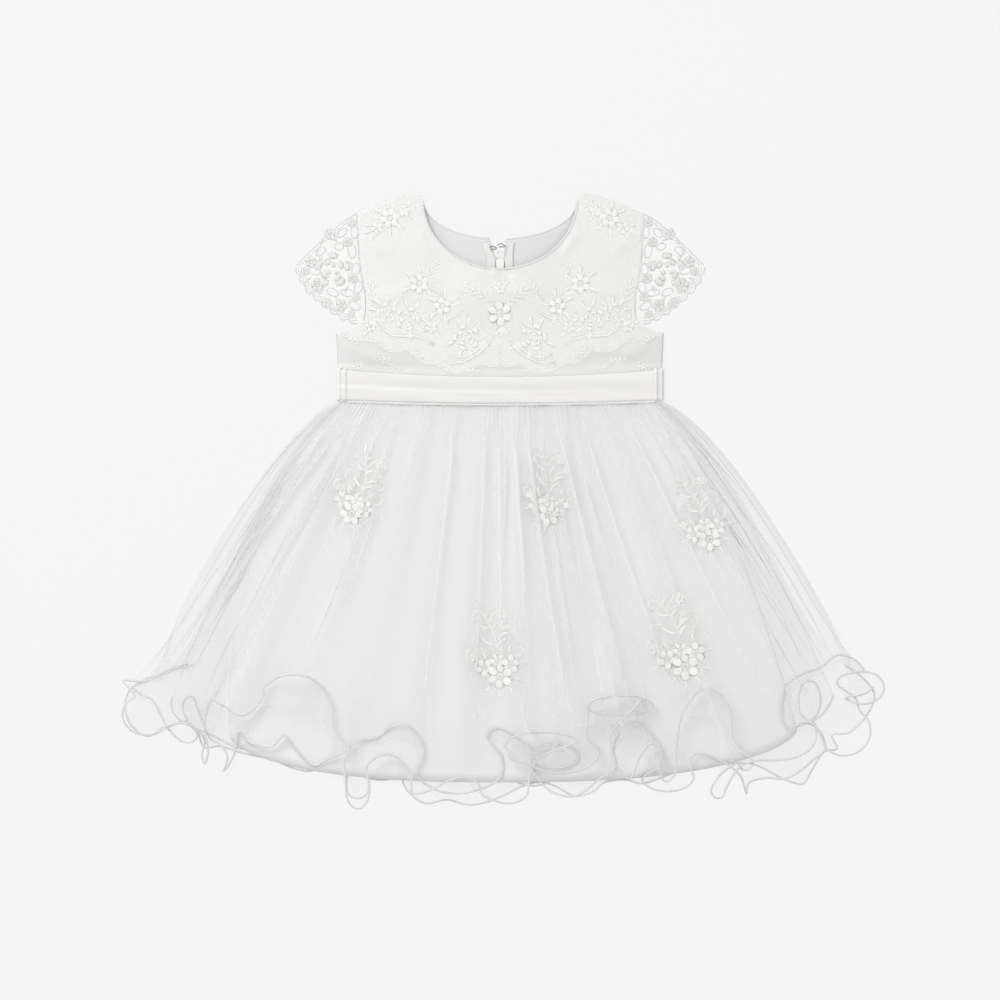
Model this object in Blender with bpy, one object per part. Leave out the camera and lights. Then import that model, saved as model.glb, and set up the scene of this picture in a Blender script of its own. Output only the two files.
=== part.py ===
"""A baby's tulle party dress, laid flat on its back with its front up.

The bodice, sash, cap sleeves, lining and two layers of tulle are walls of cloth
that lie on each other. X runs across the dress, Y from the hem to the neck and
Z up from the surface it lies on. The origin is at the middle of its underside.
"""

import math

import bpy
import numpy as np
from mathutils import Matrix, Vector
from mathutils.geometry import delaunay_2d_cdt

# Driving sizes, in millimetres.
MM = 0.001
CLOTH = 1.0
SEAM = 0.3
LACE = 0.8

# Bodice.
HALF_WAIST = 128.8
HALF_CHEST = 131.2
UNDERARM_Y = 133.6
WAIST_SIDE_Y = 79.2
WAIST_MIDDLE_Y = 76.4
NECK_HALF = 61.8
NECK_TOP_Y = 240.0
FRONT_NECK_DEPTH = 55.2
BACK_NECK_DEPTH = 31.2
SHOULDER = [(114.4, 229.6), (97.6, 236.8), (80.0, 243.2), (63.2, 246.4)]
ARMHOLE = [(109.0, 143.0), (107.2, 153.0), (108.0, 168.0), (111.6, 188.0), (114.4, 229.6)]
CROWN = 2.2
CROWN_HALF = 132.0

# Sash: a folded satin band round the waist.
SASH_MIDDLE_TOP = 98.8
SASH_SIDE_TOP = 104.4
SIDE_SEAM = [
    (HALF_WAIST + 0.6, 95.0),
    (HALF_WAIST + 1.0, 105.4),
    (HALF_WAIST + 1.4, 111.2),
    (HALF_WAIST + 1.8, 122.0),
]
SASH_HALF = 131.5
SASH_WALL = 1.0
SASH_STEP = (0.8, 6.4)
SASH_END_DROP = 9.0
SASH_FOLD = 0.9

# Zip at the centre back, open above its slider.
SLIDER_Y = 188.5
SLIDER_HALF_WIDTH = 3.2
SLIDER_HALF_LENGTH = 4.6
ZIP_BOTTOM_Y = 84.0
ZIP_TOP_Y = 206.0
ZIP_OPEN_HALF = 11.0
TAPE_WIDTH = 7.5
TAPE_WALL = 0.8
ZIP_RIDGE = 2.2
RIDGE_HALF = 16.5
RIDGE_REACH = 52.0
RIDGE_ROWS = [132.0, 140.0, 148.0, 156.0, 164.0, 172.0]
SLIDER_WALL = 1.8
BRIDGE_HALF_WIDTH = 0.5
BRIDGE_HALF_LENGTH = 2.9
BRIDGE_BOTTOM_Z = 0.1
WINDOW_HALF_LENGTH = 1.9
WINDOW_Z = (0.62, 1.98)
PULL_BAR_HALF = 0.4
PULL_LENGTH = 11.5
PULL_WIDTH = 4.6
PULL_WALL = 0.8
PULL_AXIS_Z = 1.3

# Cap sleeves.
SLEEVE_TOP = [(114.9, 229.2), (124.8, 223.4), (139.2, 211.2), (152.8, 198.4), (162.8, 188.0)]
SLEEVE_HEM = [(162.8, 188.0), (156.4, 172.8), (144.0, 160.0), (129.0, 148.6), (113.4, 142.0)]
SCALLOPS = 8
SCALLOP_DEPTH = 2.4

# Skirt: how each layer spreads from the waist to its hem.
HEM_ROUND = 2.6
HEM_FLATNESS = 0.62
GATHER_HEIGHT = 1.2
FLUTE_COLUMNS = 7
OUTER_ROWS = 7
INNER_ROWS = 5
CURL_START = 0.74
HEM_CORD = 2.0

# One row for each flute of a hem, from the left side to the right.
# Columns: width (share of the hem), lift (up), lean (along the hem), swing (out past the hem).
OUTER_FLUTES = [
    (0.060, 7.0, -20.0, 9.0),
    (0.055, 9.0, -22.0, 12.0),
    (0.050, 10.0, -10.0, 10.0),
    (0.085, 13.0, 10.0, -15.0),
    (0.110, 14.0, -16.0, -22.0),
    (0.065, 10.0, 22.0, 9.0),
    (0.070, 9.0, 14.0, 8.0),
    (0.085, 12.0, 34.0, -13.0),
    (0.075, 12.0, 42.0, -15.0),
    (0.075, 13.0, -18.0, -18.0),
    (0.060, 9.0, 24.0, 11.0),
    (0.075, 10.0, 14.0, -15.0),
    (0.065, 10.0, 20.0, 9.0),
    (0.060, 9.0, 18.0, 12.0),
    (0.055, 7.0, 10.0, 8.0),
]
INNER_FLUTES = [
    (0.080, 4.0, 10.0, 8.0),
    (0.070, 6.0, 20.0, 12.0),
    (0.090, 6.5, 16.0, -12.0),
    (0.070, 6.0, 22.0, 10.0),
    (0.080, 6.0, 18.0, 11.0),
    (0.090, 6.5, 24.0, 12.0),
    (0.085, 6.5, 28.0, 10.0),
    (0.090, 6.5, 16.0, -12.0),
    (0.080, 6.0, 24.0, 11.0),
    (0.070, 6.0, 20.0, 12.0),
    (0.075, 6.0, 22.0, 11.0),
    (0.070, 5.0, 18.0, 10.0),
    (0.050, 4.0, 10.0, 7.0),
]

# Each layer: half its waist, then the side's control points and hem corner (x, y), and the hem's middle.
OUTER = {
    "half": 129.6,
    "left": [(175, 62), (235, -40), (288, -150)],
    "right": [(175, 62), (237, -40), (293, -148)],
    "middle": -229.0,
}
INNER = {
    "half": 126.4,
    "left": [(168, 58), (222, -42), (266, -158)],
    "right": [(168, 58), (222, -42), (270, -156)],
    "middle": -225.0,
}
LINING = {
    "half": 123.2,
    "left": [(162, 50), (228, -75), (216, -190)],
    "right": [(160, 50), (208, -70), (238, -184)],
    "middle": -226.0,
}
BACK_WAVES = 12
BACK_WAVE_SWING = 4.5

# Heights of the skirt's layers above the surface, at the lowest of each wall.
BACK_INNER_Z = CLOTH + SEAM
BACK_LINING_Z = 2 * (CLOTH + SEAM)
FRONT_LINING_Z = 3 * (CLOTH + SEAM)
LINING_FOLD = 1.4
INNER_LIFT = 8.0
OUTER_GAP = 0.5
LINING_FOLDS = 9

# Floral sprays on the tulle. Columns: where (x, y) on the skirt, turn in degrees, length.
SPRAYS = [
    (-112.0, 8.0, 22.0, 60.0),
    (39.0, 8.0, 3.0, 60.0),
    (160.0, -12.0, -18.0, 62.0),
    (-4.0, -119.0, -8.0, 66.0),
    (141.0, -110.0, -14.0, 72.0),
]
# A spray's petals and leaves. Columns: x, y along it (shares of its length), radius in mm.
SPRAY_FLOWERS = [
    (0.02, -0.30, 8.5),
    (-0.13, -0.16, 6.5),
    (0.15, -0.13, 6.0),
    (0.02, 0.02, 5.5),
    (0.10, 0.24, 5.0),
]

# Its edge, from its foot to its tip. Columns: along it, left and right (shares of its length).
SPRAY_EDGE = [
    (-0.48, -0.05, 0.06),
    (-0.42, -0.17, 0.17),
    (-0.30, -0.22, 0.24),
    (-0.18, -0.28, 0.20),
    (-0.08, -0.24, 0.26),
    (0.02, -0.10, 0.18),
    (0.12, -0.07, 0.15),
    (0.22, -0.04, 0.20),
    (0.32, -0.02, 0.19),
    (0.42, 0.05, 0.16),
    (0.48, 0.08, 0.12),
]
SPRAY_GAP = 0.9

# The bodice lace. Flowers on its right half: x, y, radius.
LACE_FLOWERS = [
    (22.0, 127.0, 8.0),
    (36.0, 146.0, 7.5),
    (45.0, 124.0, 9.0),
    (62.0, 137.0, 10.0),
    (62.0, 158.0, 6.5),
    (83.0, 147.0, 9.0),
    (92.0, 164.0, 6.0),
    (76.0, 226.0, 5.5),
    (94.0, 222.0, 5.5),
]
# Scrolls on its right half, each a curve through points (x, y).
LACE_SCROLLS = [
    [(7.0, 122.0), (14.0, 111.0), (30.0, 106.5), (48.0, 112.0)],
    [(52.0, 127.0), (64.0, 120.5), (82.0, 122.5), (97.0, 134.0)],
    [(6.0, 134.0), (4.0, 148.0), (11.0, 160.0), (20.0, 164.0)],
]
LACE_RELIEF = 0.9
LACE_SCROLL_HALF = 2.2
# The lace's scalloped lower edge, right half: points where two scallops meet.
LACE_EDGE = [(0.0, 108.0), (14.0, 108.5), (52.0, 108.0), (74.0, 119.5), (101.0, 126.5), (128.0, 131.5)]
LACE_SCALLOP_DROP = [2.5, 7.0, 4.0, 5.0, 1.5]

# Gaps in the sleeve lace, right sleeve. Columns: x, y, half length, half width, turn in degrees.
SLEEVE_GAPS = [
    (116.8, 214.5, 4.6, 2.3, 80.0),
    (126.5, 214.0, 4.2, 2.2, -40.0),
    (118.6, 199.5, 5.4, 2.6, 84.0),
    (129.0, 203.0, 3.2, 2.3, 15.0),
    (115.8, 184.5, 4.6, 2.4, 98.0),
    (143.5, 199.5, 4.0, 2.2, -40.0),
    (113.6, 170.5, 4.4, 2.6, 100.0),
    (122.5, 166.0, 4.8, 2.3, 8.0),
    (148.6, 183.5, 4.2, 2.3, 20.0),
    (134.0, 166.5, 4.4, 2.3, 25.0),
    (116.5, 155.5, 4.4, 2.4, 30.0),
]
SLEEVE_FLOWERS = [(131.5, 184.5, 9.0), (146.0, 172.0, 5.5), (127.0, 155.5, 4.8), (136.0, 213.0, 4.5)]


def smoothstep(low, high, x):
    t = np.clip((np.asarray(x, float) - low) / (high - low), 0, 1)
    return t * t * (3 - 2 * t)


def bezier(p0, p1, p2, p3, t):
    return (1 - t) ** 3 * p0 + 3 * (1 - t) ** 2 * t * p1 + 3 * (1 - t) * t**2 * p2 + t**3 * p3


def curve_through(points, steps):
    """Points on a smooth curve through the given ones, with so many steps a span (Catmull-Rom)."""
    p = np.array(points, float)
    p = np.vstack([2 * p[0] - p[1], p, 2 * p[-1] - p[-2]])
    t = (np.arange(steps) / steps)[:, None]
    found = []
    for a, b, c, d in zip(p, p[1:], p[2:], p[3:]):
        square, cube = 2 * a - 5 * b + 4 * c - d, 3 * b - a - 3 * c + d
        found.append(0.5 * (2 * b + (c - a) * t + square * t**2 + cube * t**3))
    return np.vstack([*found, p[-2:-1]])


def waist_y(x):
    return WAIST_MIDDLE_Y + (WAIST_SIDE_Y - WAIST_MIDDLE_Y) * (np.asarray(x, float) / HALF_WAIST) ** 2


def sash_top_y(x):
    return SASH_MIDDLE_TOP + (SASH_SIDE_TOP - SASH_MIDDLE_TOP) * (np.asarray(x, float) / HALF_WAIST) ** 2


def material(name, colour, roughness, metallic=0.0, alpha=1.0):
    made = bpy.data.materials.new(name)
    made.use_nodes = True
    shader = made.node_tree.nodes["Principled BSDF"]
    shader.inputs["Base Color"].default_value = (*colour, 1.0)
    shader.inputs["Roughness"].default_value = roughness
    shader.inputs["Metallic"].default_value = metallic
    shader.inputs["Alpha"].default_value = alpha
    return made


def add_object(name, points, faces, finish):
    """One named object from points in millimetres."""
    mesh = bpy.data.meshes.new(name)
    mesh.from_pydata([tuple(p) for p in np.asarray(points) * MM], [], faces)
    mesh.shade_smooth()
    mesh.set_sharp_from_angle(angle=math.radians(50))
    made = bpy.data.objects.new(name, mesh)
    made.data.materials.append(finish)
    bpy.context.scene.collection.objects.link(made)
    return made


def filled(loops, inner):
    """Triangles that fill the first loop, less the other loops, through the inner points."""
    points, edges = [], []
    for loop in loops:
        first = len(points)
        count = len(loop)
        points += [Vector(p) for p in loop]
        edges += [(first + i, first + (i + 1) % count) for i in range(count)]
    points += [Vector(p) for p in inner]
    # Output type 1 keeps the triangles inside the outline. Those in a hole are dropped here.
    found, _, faces, *_ = delaunay_2d_cdt(points, edges, [], 1, 1e-5)
    found, faces = np.array([tuple(p) for p in found]), np.array([tuple(f) for f in faces])
    middles = found[faces].mean(axis=1)
    for hole in loops[1:]:
        keep = ~inside(hole, middles, 0.0)
        faces, middles = faces[keep], middles[keep]
    return found, [tuple(int(k) for k in f) for f in faces]


def inside(loop, points, margin):
    """Which of the points lie inside the loop and at least margin from its line."""
    loop = np.array(loop, float)
    points = np.array(points, float)
    a, b = loop, np.roll(loop, -1, axis=0)
    px, py = points[:, 0][:, None], points[:, 1][:, None]
    crosses = (a[:, 1] > py) != (b[:, 1] > py)
    rise = np.where(np.abs(b[:, 1] - a[:, 1]) < 1e-9, 1e-9, b[:, 1] - a[:, 1])
    at = a[:, 0] + (py - a[:, 1]) / rise * (b[:, 0] - a[:, 0])
    odd = (crosses & (px < at)).sum(axis=1) % 2 == 1
    along = b - a
    length = (along**2).sum(axis=1)
    t = np.clip(((px - a[:, 0]) * along[:, 0] + (py - a[:, 1]) * along[:, 1]) / length, 0, 1)
    gap = np.hypot(px - a[:, 0] - t * along[:, 0], py - a[:, 1] - t * along[:, 1]).min(axis=1)
    return odd & (gap > margin)


def clear_of(points, others, gap):
    """Which of the points are farther than gap from all of the others."""
    others = np.array(others, float)
    far = np.hypot(points[:, None, 0] - others[:, 0], points[:, None, 1] - others[:, 1])
    return far.min(axis=1) > gap


def laid_wall(name, outline, low, high, finish, spacing, holes=(), relief=(), creases=()):
    """A wall that lies flat: its plain underside follows low(x, y), and its top follows high(x, y).

    creases lists points of both faces, where the wall bends. relief lists more points of the
    top, where embroidery is raised.
    """
    outline = np.array(outline, float)
    lo, hi = outline.min(0), outline.max(0)
    columns = np.arange(lo[0] + spacing / 2, hi[0], spacing)
    rows = np.arange(lo[1] + spacing / 2, hi[1], spacing)
    grid = np.array([(x, y) for y in rows for x in columns]).reshape(-1, 2)
    keep = inside(outline, grid, spacing * 0.35)
    for hole in holes:
        keep &= ~inside(hole, grid, -1.0)
        keep &= np.hypot(*(grid - np.mean(hole, axis=0)).T) > np.ptp(hole, axis=0).max() * 0.6
    grid = grid[keep]
    if len(creases):
        creases = np.array(creases, float)
        creases = creases[inside(outline, creases, 1.5)]
        grid = np.vstack([grid[clear_of(grid, creases, 0.4 * spacing)], creases])
    top_inner = grid
    if len(relief):
        relief = np.array(relief, float)
        relief = relief[inside(outline, relief, 0.5)]
        top_inner = np.vstack([grid[clear_of(grid, relief, 2.5)], relief])
    loops = [outline, *holes]
    rim = sum(len(loop) for loop in loops)
    top, top_faces = filled(loops, top_inner)
    under, under_faces = filled(loops, grid)
    top3 = np.column_stack([top, high(top[:, 0], top[:, 1])])
    under3 = np.column_stack([under, low(under[:, 0], under[:, 1])])
    points = np.vstack([top3, under3])
    faces = list(top_faces) + [tuple(len(top) + i for i in reversed(f)) for f in under_faces]
    start = 0
    for loop in loops:
        count = len(loop)
        turn = np.roll(loop, -1, axis=0)
        clockwise = (loop[:, 0] * turn[:, 1] - turn[:, 0] * loop[:, 1]).sum() < 0
        outer = start == 0
        for i in range(count):
            a, b = start + i, start + (i + 1) % count
            side = (a, len(top) + a, len(top) + b, b)
            faces.append(side if clockwise != outer else side[::-1])
        start += count
    if rim > len(top):
        raise ValueError(f"{name}: two points of its outline coincide")
    return add_object(name, points, faces, finish)


def normals(sheet):
    """The unit normal at each point of a sheet: a grid (rows, columns, 3) whose rows run down."""
    normal = np.cross(np.gradient(sheet, axis=0), np.gradient(sheet, axis=1))
    return normal / np.linalg.norm(normal, axis=2, keepdims=True)


def grid_wall(name, sheet, thickness, finish):
    """A wall round a sheet, half its thickness out on each side: a number, or one for each row."""
    normal = normals(sheet)
    rows, columns = sheet.shape[:2]
    points = np.vstack([(sheet + side * normal * thickness / 2).reshape(-1, 3) for side in (1, -1)])
    at = np.arange(rows * columns).reshape(rows, columns)
    other = rows * columns
    quads = [
        (at[i, j], at[i + 1, j], at[i + 1, j + 1], at[i, j + 1])
        for i in range(rows - 1)
        for j in range(columns - 1)
    ]
    faces = quads + [tuple(other + k for k in reversed(q)) for q in quads]
    rim = [*at[0, ::-1], *at[1:, 0], *at[-1, 1:], *at[-2:0:-1, -1]]
    for a, b in zip(rim, rim[1:] + rim[:1]):
        faces.append((b, a, other + a, other + b))
    add_object(name, points, [tuple(int(k) for k in f) for f in faces], finish)


def mirrored(half):
    """A closed outline from its right half, which runs from the middle line round to it again."""
    half = np.array(half, float)
    left = half[::-1].copy()
    left[:, 0] *= -1
    keep = np.abs(left[:, 0]) > 1e-6
    return np.vstack([half, left[keep]])


# Bodice.


def armhole_and_shoulder():
    """The right edge of the bodice from its underarm corner to the neck's side."""
    underarm = curve_through([(HALF_CHEST, UNDERARM_Y), (119.5, 137.2), ARMHOLE[0]], 2)[:-1]
    return np.vstack([underarm, curve_through(ARMHOLE, 3)[:-1], curve_through(SHOULDER, 2)])


def neckline(depth, steps=11):
    """The right half of a round neck, from its side down to the middle."""
    angle = np.linspace(0, math.pi / 2, steps)
    return np.column_stack([NECK_HALF * np.cos(angle), NECK_TOP_Y - depth * np.sin(angle)])


def front_outline():
    x = np.linspace(0, HALF_WAIST, 8)
    hem = np.column_stack([x, waist_y(x)])
    return mirrored(np.vstack([hem, SIDE_SEAM, armhole_and_shoulder(), neckline(FRONT_NECK_DEPTH)]))


def zip_edge(side, y):
    """How far a back panel's edge stands from the middle: a slit at the slider, then open to the neck."""
    open_from = SLIDER_Y + SLIDER_HALF_LENGTH
    slit = np.where(np.abs(y - SLIDER_Y) < SLIDER_HALF_LENGTH, 1.0, 0.2)
    spread = 0.36 if side < 0 else 0.10
    return np.where(y > open_from, 2.8 + spread * (y - open_from), slit)


def back_outline(side):
    """One back panel: side is 1 for the right one and -1 for the left one."""
    x = np.linspace(0.2, HALF_WAIST, 7)
    hem = np.column_stack([x, waist_y(x)])
    neck = neckline(BACK_NECK_DEPTH)
    top_y = NECK_TOP_Y - BACK_NECK_DEPTH
    neck = neck[neck[:, 0] > ZIP_OPEN_HALF]
    top_x = float(zip_edge(side, top_y))
    slit_low, slit_high = SLIDER_Y - SLIDER_HALF_LENGTH, SLIDER_Y + SLIDER_HALF_LENGTH
    centre = [(top_x, top_y + 0.2)]
    centre += [(float(zip_edge(side, slit_high + 0.01)), slit_high + 0.4)]
    centre += [(1.0, slit_high), (1.0, slit_low), (0.2, slit_low - 0.6)]
    centre += [(0.2, y) for y in RIDGE_ROWS[::-1]]
    centre += [(0.2, SASH_MIDDLE_TOP + rise) for rise in SASH_STEP[::-1]]
    half = np.vstack([hem, SIDE_SEAM, armhole_and_shoulder(), neck, centre])
    half[:, 0] *= side
    return half if side > 0 else half[::-1]


def back_low(x, y):
    """The underside of the back: flat, but raised over the sash and by the open end of the zip."""
    over_sash = (SASH_WALL + SEAM) * (1 - smoothstep(0.6, 6.0, np.asarray(y) - sash_top_y(x)))
    across = 1 - smoothstep(RIDGE_HALF, RIDGE_REACH, np.abs(x))
    ridge = ZIP_RIDGE * across * smoothstep(RIDGE_ROWS[0], RIDGE_ROWS[-1], y)
    return np.maximum(over_sash, ridge)


def front_low(x, y):
    """The underside of the front, which lies on the back and is a little crowned."""
    crown = CROWN * (1 - np.clip(np.abs(x) / CROWN_HALF, 0, 1) ** 6)
    return back_low(x, y) + CLOTH + SEAM + crown


def front_top(x, y):
    return front_low(x, y) + CLOTH


def bodice_creases():
    """Where the bodice bends: above the sash, and beside the zip's open end."""
    x = np.linspace(-120, 120, 15)
    points = [(a, float(sash_top_y(a)) + rise) for rise in SASH_STEP for a in x]
    steps = (RIDGE_HALF, 28.0, 40.0, RIDGE_REACH)
    points += [(side * a, y) for side in (1, -1) for a in steps for y in RIDGE_ROWS]
    return points + [(side * a, y) for side in (1, -1) for a in steps for y in (184.0, 198.0)]


def bodice(satin):
    laid_wall("bodice_front", front_outline(), front_low, front_top, satin, 24.0, creases=bodice_creases())
    for name, side in (("bodice_back_left", -1), ("bodice_back_right", 1)):
        laid_wall(
            name,
            back_outline(side),
            back_low,
            lambda x, y: back_low(x, y) + CLOTH,
            satin,
            24.0,
            creases=bodice_creases(),
        )


# Embroidery: flowers and scrolls raised from a wall's top.


def flower_points(x, y, radius):
    """A flower's points on the wall: a scalloped edge, a ring of petals and a centre."""
    edge = np.arange(10) / 10 * 2 * math.pi
    far = radius * np.where(np.arange(10) % 2, 0.80, 1.0)
    ring = np.arange(5) / 5 * 2 * math.pi
    points = [(x + r * math.cos(a), y + r * math.sin(a)) for r, a in zip(far, edge)]
    points += [(x + 0.55 * radius * math.cos(a), y + 0.55 * radius * math.sin(a)) for a in ring]
    return points + [(x, y)]


def scroll_points(points):
    """A scroll's crest and its two edges."""
    line = curve_through(points, 3)
    along = np.gradient(line, axis=0)
    along /= np.linalg.norm(along, axis=1, keepdims=True)
    out = np.column_stack([-along[:, 1], along[:, 0]]) * LACE_SCROLL_HALF
    return line, np.vstack([line, line + out, line - out])


def flower_height(x, y, flowers, height):
    """How far flowers stand up: full over the petals, none at the edge and a dip at the centre."""
    found = np.zeros(np.shape(x))
    for fx, fy, radius in flowers:
        far = np.hypot(x - fx, y - fy) / radius
        dome = np.where(far < 0.75, 1.0, 0.0)
        dome = np.where(far < 0.2, 0.45, dome)
        found = np.maximum(found, height * dome)
    return found


def both_sides(flowers):
    return [*flowers, *[(-x, y, r) for x, y, r in flowers]]


def lace_low(x, y):
    return front_top(x, y) + SEAM


def lace_edge():
    """The lace's scalloped lower edge, from the middle to the right side."""
    points = []
    for (x0, y0), (x1, y1), drop in zip(LACE_EDGE, LACE_EDGE[1:], LACE_SCALLOP_DROP):
        for t in np.arange(5) / 5:
            points.append((x0 + (x1 - x0) * t, y0 + (y1 - y0) * t - drop * math.sin(math.pi * t)))
    return np.array(points)


def bodice_lace(lace):
    """The lace yoke on the front: a net with corded flowers and scrolls, scalloped along its lower edge."""
    upper = armhole_and_shoulder()[1:]
    half = np.vstack([lace_edge(), upper, neckline(FRONT_NECK_DEPTH)])
    flowers = both_sides(LACE_FLOWERS) + [(0.0, 140.0, 9.0)]
    relief, crests = [], []
    for x, y, radius in flowers:
        relief += flower_points(x, y, radius)
    for points in LACE_SCROLLS:
        for side in (1, -1):
            crest, around = scroll_points([(side * x, y) for x, y in points])
            apart = np.array([[np.hypot(p[0] - x, p[1] - y) - r for x, y, r in flowers] for p in around])
            relief += [tuple(p) for p in around[apart.min(axis=1) > 1.0]]
            crests.append(crest)
    crests = np.vstack(crests)

    def high(x, y):
        gap = np.hypot(x[:, None] - crests[:, 0], y[:, None] - crests[:, 1]).min(axis=1)
        scroll = LACE_RELIEF * (gap < 0.6 * LACE_SCROLL_HALF)
        return lace_low(x, y) + LACE + np.maximum(scroll, flower_height(x, y, flowers, LACE_RELIEF))

    creases = [p for p in bodice_creases() if p[1] > 150]
    laid_wall("bodice_lace", mirrored(half), lace_low, high, lace, 17.0, relief=relief, creases=creases)


# Sleeves.


def sleeve_outline():
    """The right cap sleeve, laid flat: the armhole seam, the fold on top and the scalloped hem."""
    seam = curve_through(ARMHOLE, 3)[::-1] + (0.5, 0.0)
    fold = curve_through(SLEEVE_TOP, 2)[::-1]
    line = curve_through(SLEEVE_HEM, SCALLOPS)
    step = np.hypot(*np.diff(line, axis=0).T)
    share = np.append(0, np.cumsum(step)) / step.sum()
    at = np.linspace(0, 1, 4 * SCALLOPS + 1)
    hem = np.column_stack([np.interp(at, share, line[:, 0]), np.interp(at, share, line[:, 1])])
    out = np.gradient(hem, axis=0)
    out = np.column_stack([-out[:, 1], out[:, 0]]) / np.hypot(*out.T)[:, None]
    hem += out * (SCALLOP_DEPTH * np.abs(np.sin(math.pi * SCALLOPS * at)))[:, None] * -1
    return np.vstack([seam[:-1][::-1], fold[::-1][:-1], hem[:-1]])


def oval(x, y, half_length, half_width, degrees, steps=6):
    angle = np.arange(steps) / steps * 2 * math.pi
    a, b = half_length * np.cos(angle), half_width * np.sin(angle)
    turn = math.radians(degrees)
    return np.column_stack(
        [x + a * math.cos(turn) - b * math.sin(turn), y + a * math.sin(turn) + b * math.cos(turn)]
    )


def sleeves(lace):
    """Each cap sleeve is two layers of open lace, its front on its back, with the larger gaps cut through."""
    for word, side in (("left", -1), ("right", 1)):
        outline = sleeve_outline() * (side, 1)
        holes = [oval(*gap) * (side, 1) for gap in SLEEVE_GAPS]
        flowers = [(side * x, y, r) for x, y, r in SLEEVE_FLOWERS]
        relief = [p for f in flowers for p in flower_points(*f)]

        def back_high(x, y):
            return np.full(np.shape(x), CLOTH)

        def low(x, y):
            return CLOTH + SEAM + 1.6 * smoothstep(150, 112, np.abs(x))

        def high(x, y, low=low, flowers=flowers):
            return low(x, y) + LACE + flower_height(x, y, flowers, 0.7)

        def floor(x, y):
            return np.zeros(np.shape(x))

        laid_wall(f"sleeve_{word}_back", outline, floor, back_high, lace, 12.0, holes=holes)
        laid_wall(f"sleeve_{word}_front", outline, low, high, lace, 12.0, holes=holes, relief=relief)


# Sash.


def sash_sheet(columns=25, rows=7):
    """The sash's front as a grid of points, close together at its ends, where it turns down."""
    turn = 0.985 * math.pi / 2
    x = SASH_HALF * np.sin(np.linspace(-turn, turn, columns)) / math.sin(turn)
    x, w = np.meshgrid(x, np.linspace(0, 1, rows))
    y = waist_y(x) + 0.4 + (sash_top_y(x) - waist_y(x) - 0.4) * w
    fold = SASH_FOLD * np.abs(np.sin(math.pi * (1.6 * w + 0.25 + 0.10 * x / SASH_HALF)))
    flat_z = front_top(0.0, waist_y(0.0) + 10.0) + SEAM + SASH_WALL / 2 + fold
    end = 1 - np.sqrt(1 - np.clip((np.abs(x) - (SASH_HALF - SASH_END_DROP)) / SASH_END_DROP, 0, 1) ** 2)
    rest_z = SASH_WALL + SEAM + SASH_WALL / 2
    z = flat_z + (rest_z - flat_z) * end * 0.9
    return np.dstack([x, y, z])[::-1]


def sash(satin):
    """The sash's front, folded lengthways and turned down at its ends, its back, and its carriers."""
    sheet = sash_sheet()
    grid_wall("sash_front", sheet, SASH_WALL, satin)
    over = SASH_WALL + SEAM
    for word, columns in (("left", slice(0, 3)), ("right", slice(-3, None))):
        grid_wall(f"sash_carrier_{word}", (sheet + over * normals(sheet))[:, columns], SASH_WALL, satin)
    edge = np.linspace(-SASH_HALF, SASH_HALF, 15)
    outline = np.vstack(
        [np.column_stack([edge, waist_y(edge) + 0.4]), np.column_stack([edge, sash_top_y(edge)])[::-1]]
    )
    laid_wall(
        "sash_back",
        outline,
        lambda x, y: np.zeros(np.shape(x)),
        lambda x, y: np.full(np.shape(x), SASH_WALL),
        satin,
        40.0,
    )


# Zip.


def zip_tapes(tape):
    """A tape on the inner face of each back panel, its edge following the slit and the open end."""
    slit_low = SLIDER_Y - SLIDER_HALF_LENGTH - 0.8
    slit_high = SLIDER_Y + SLIDER_HALF_LENGTH + 0.8
    beside = SLIDER_HALF_WIDTH + 0.4
    for word, side in (("left", -1), ("right", 1)):
        top = float(zip_edge(side, ZIP_TOP_Y)) + 0.3
        inner = [(0.5, ZIP_BOTTOM_Y), *[(0.5, SASH_MIDDLE_TOP + rise) for rise in SASH_STEP]]
        inner += [(0.5, y) for y in RIDGE_ROWS] + [(0.5, slit_low - 2.0), (beside, slit_low)]
        inner += [(beside, slit_high), (top, ZIP_TOP_Y)]
        inner = np.array(inner)
        outer = inner[::-1].copy()
        outer[:, 0] = np.maximum(TAPE_WIDTH + 0.5, outer[:, 0] + 0.5 * TAPE_WIDTH)
        outline = np.vstack([inner, outer])[::-1] * (side, 1)

        def low(x, y):
            return back_low(x, y) + CLOTH + SEAM

        laid_wall(f"zip_tape_{word}", outline, low, lambda x, y: low(x, y) + TAPE_WALL, tape, 60.0)


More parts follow.
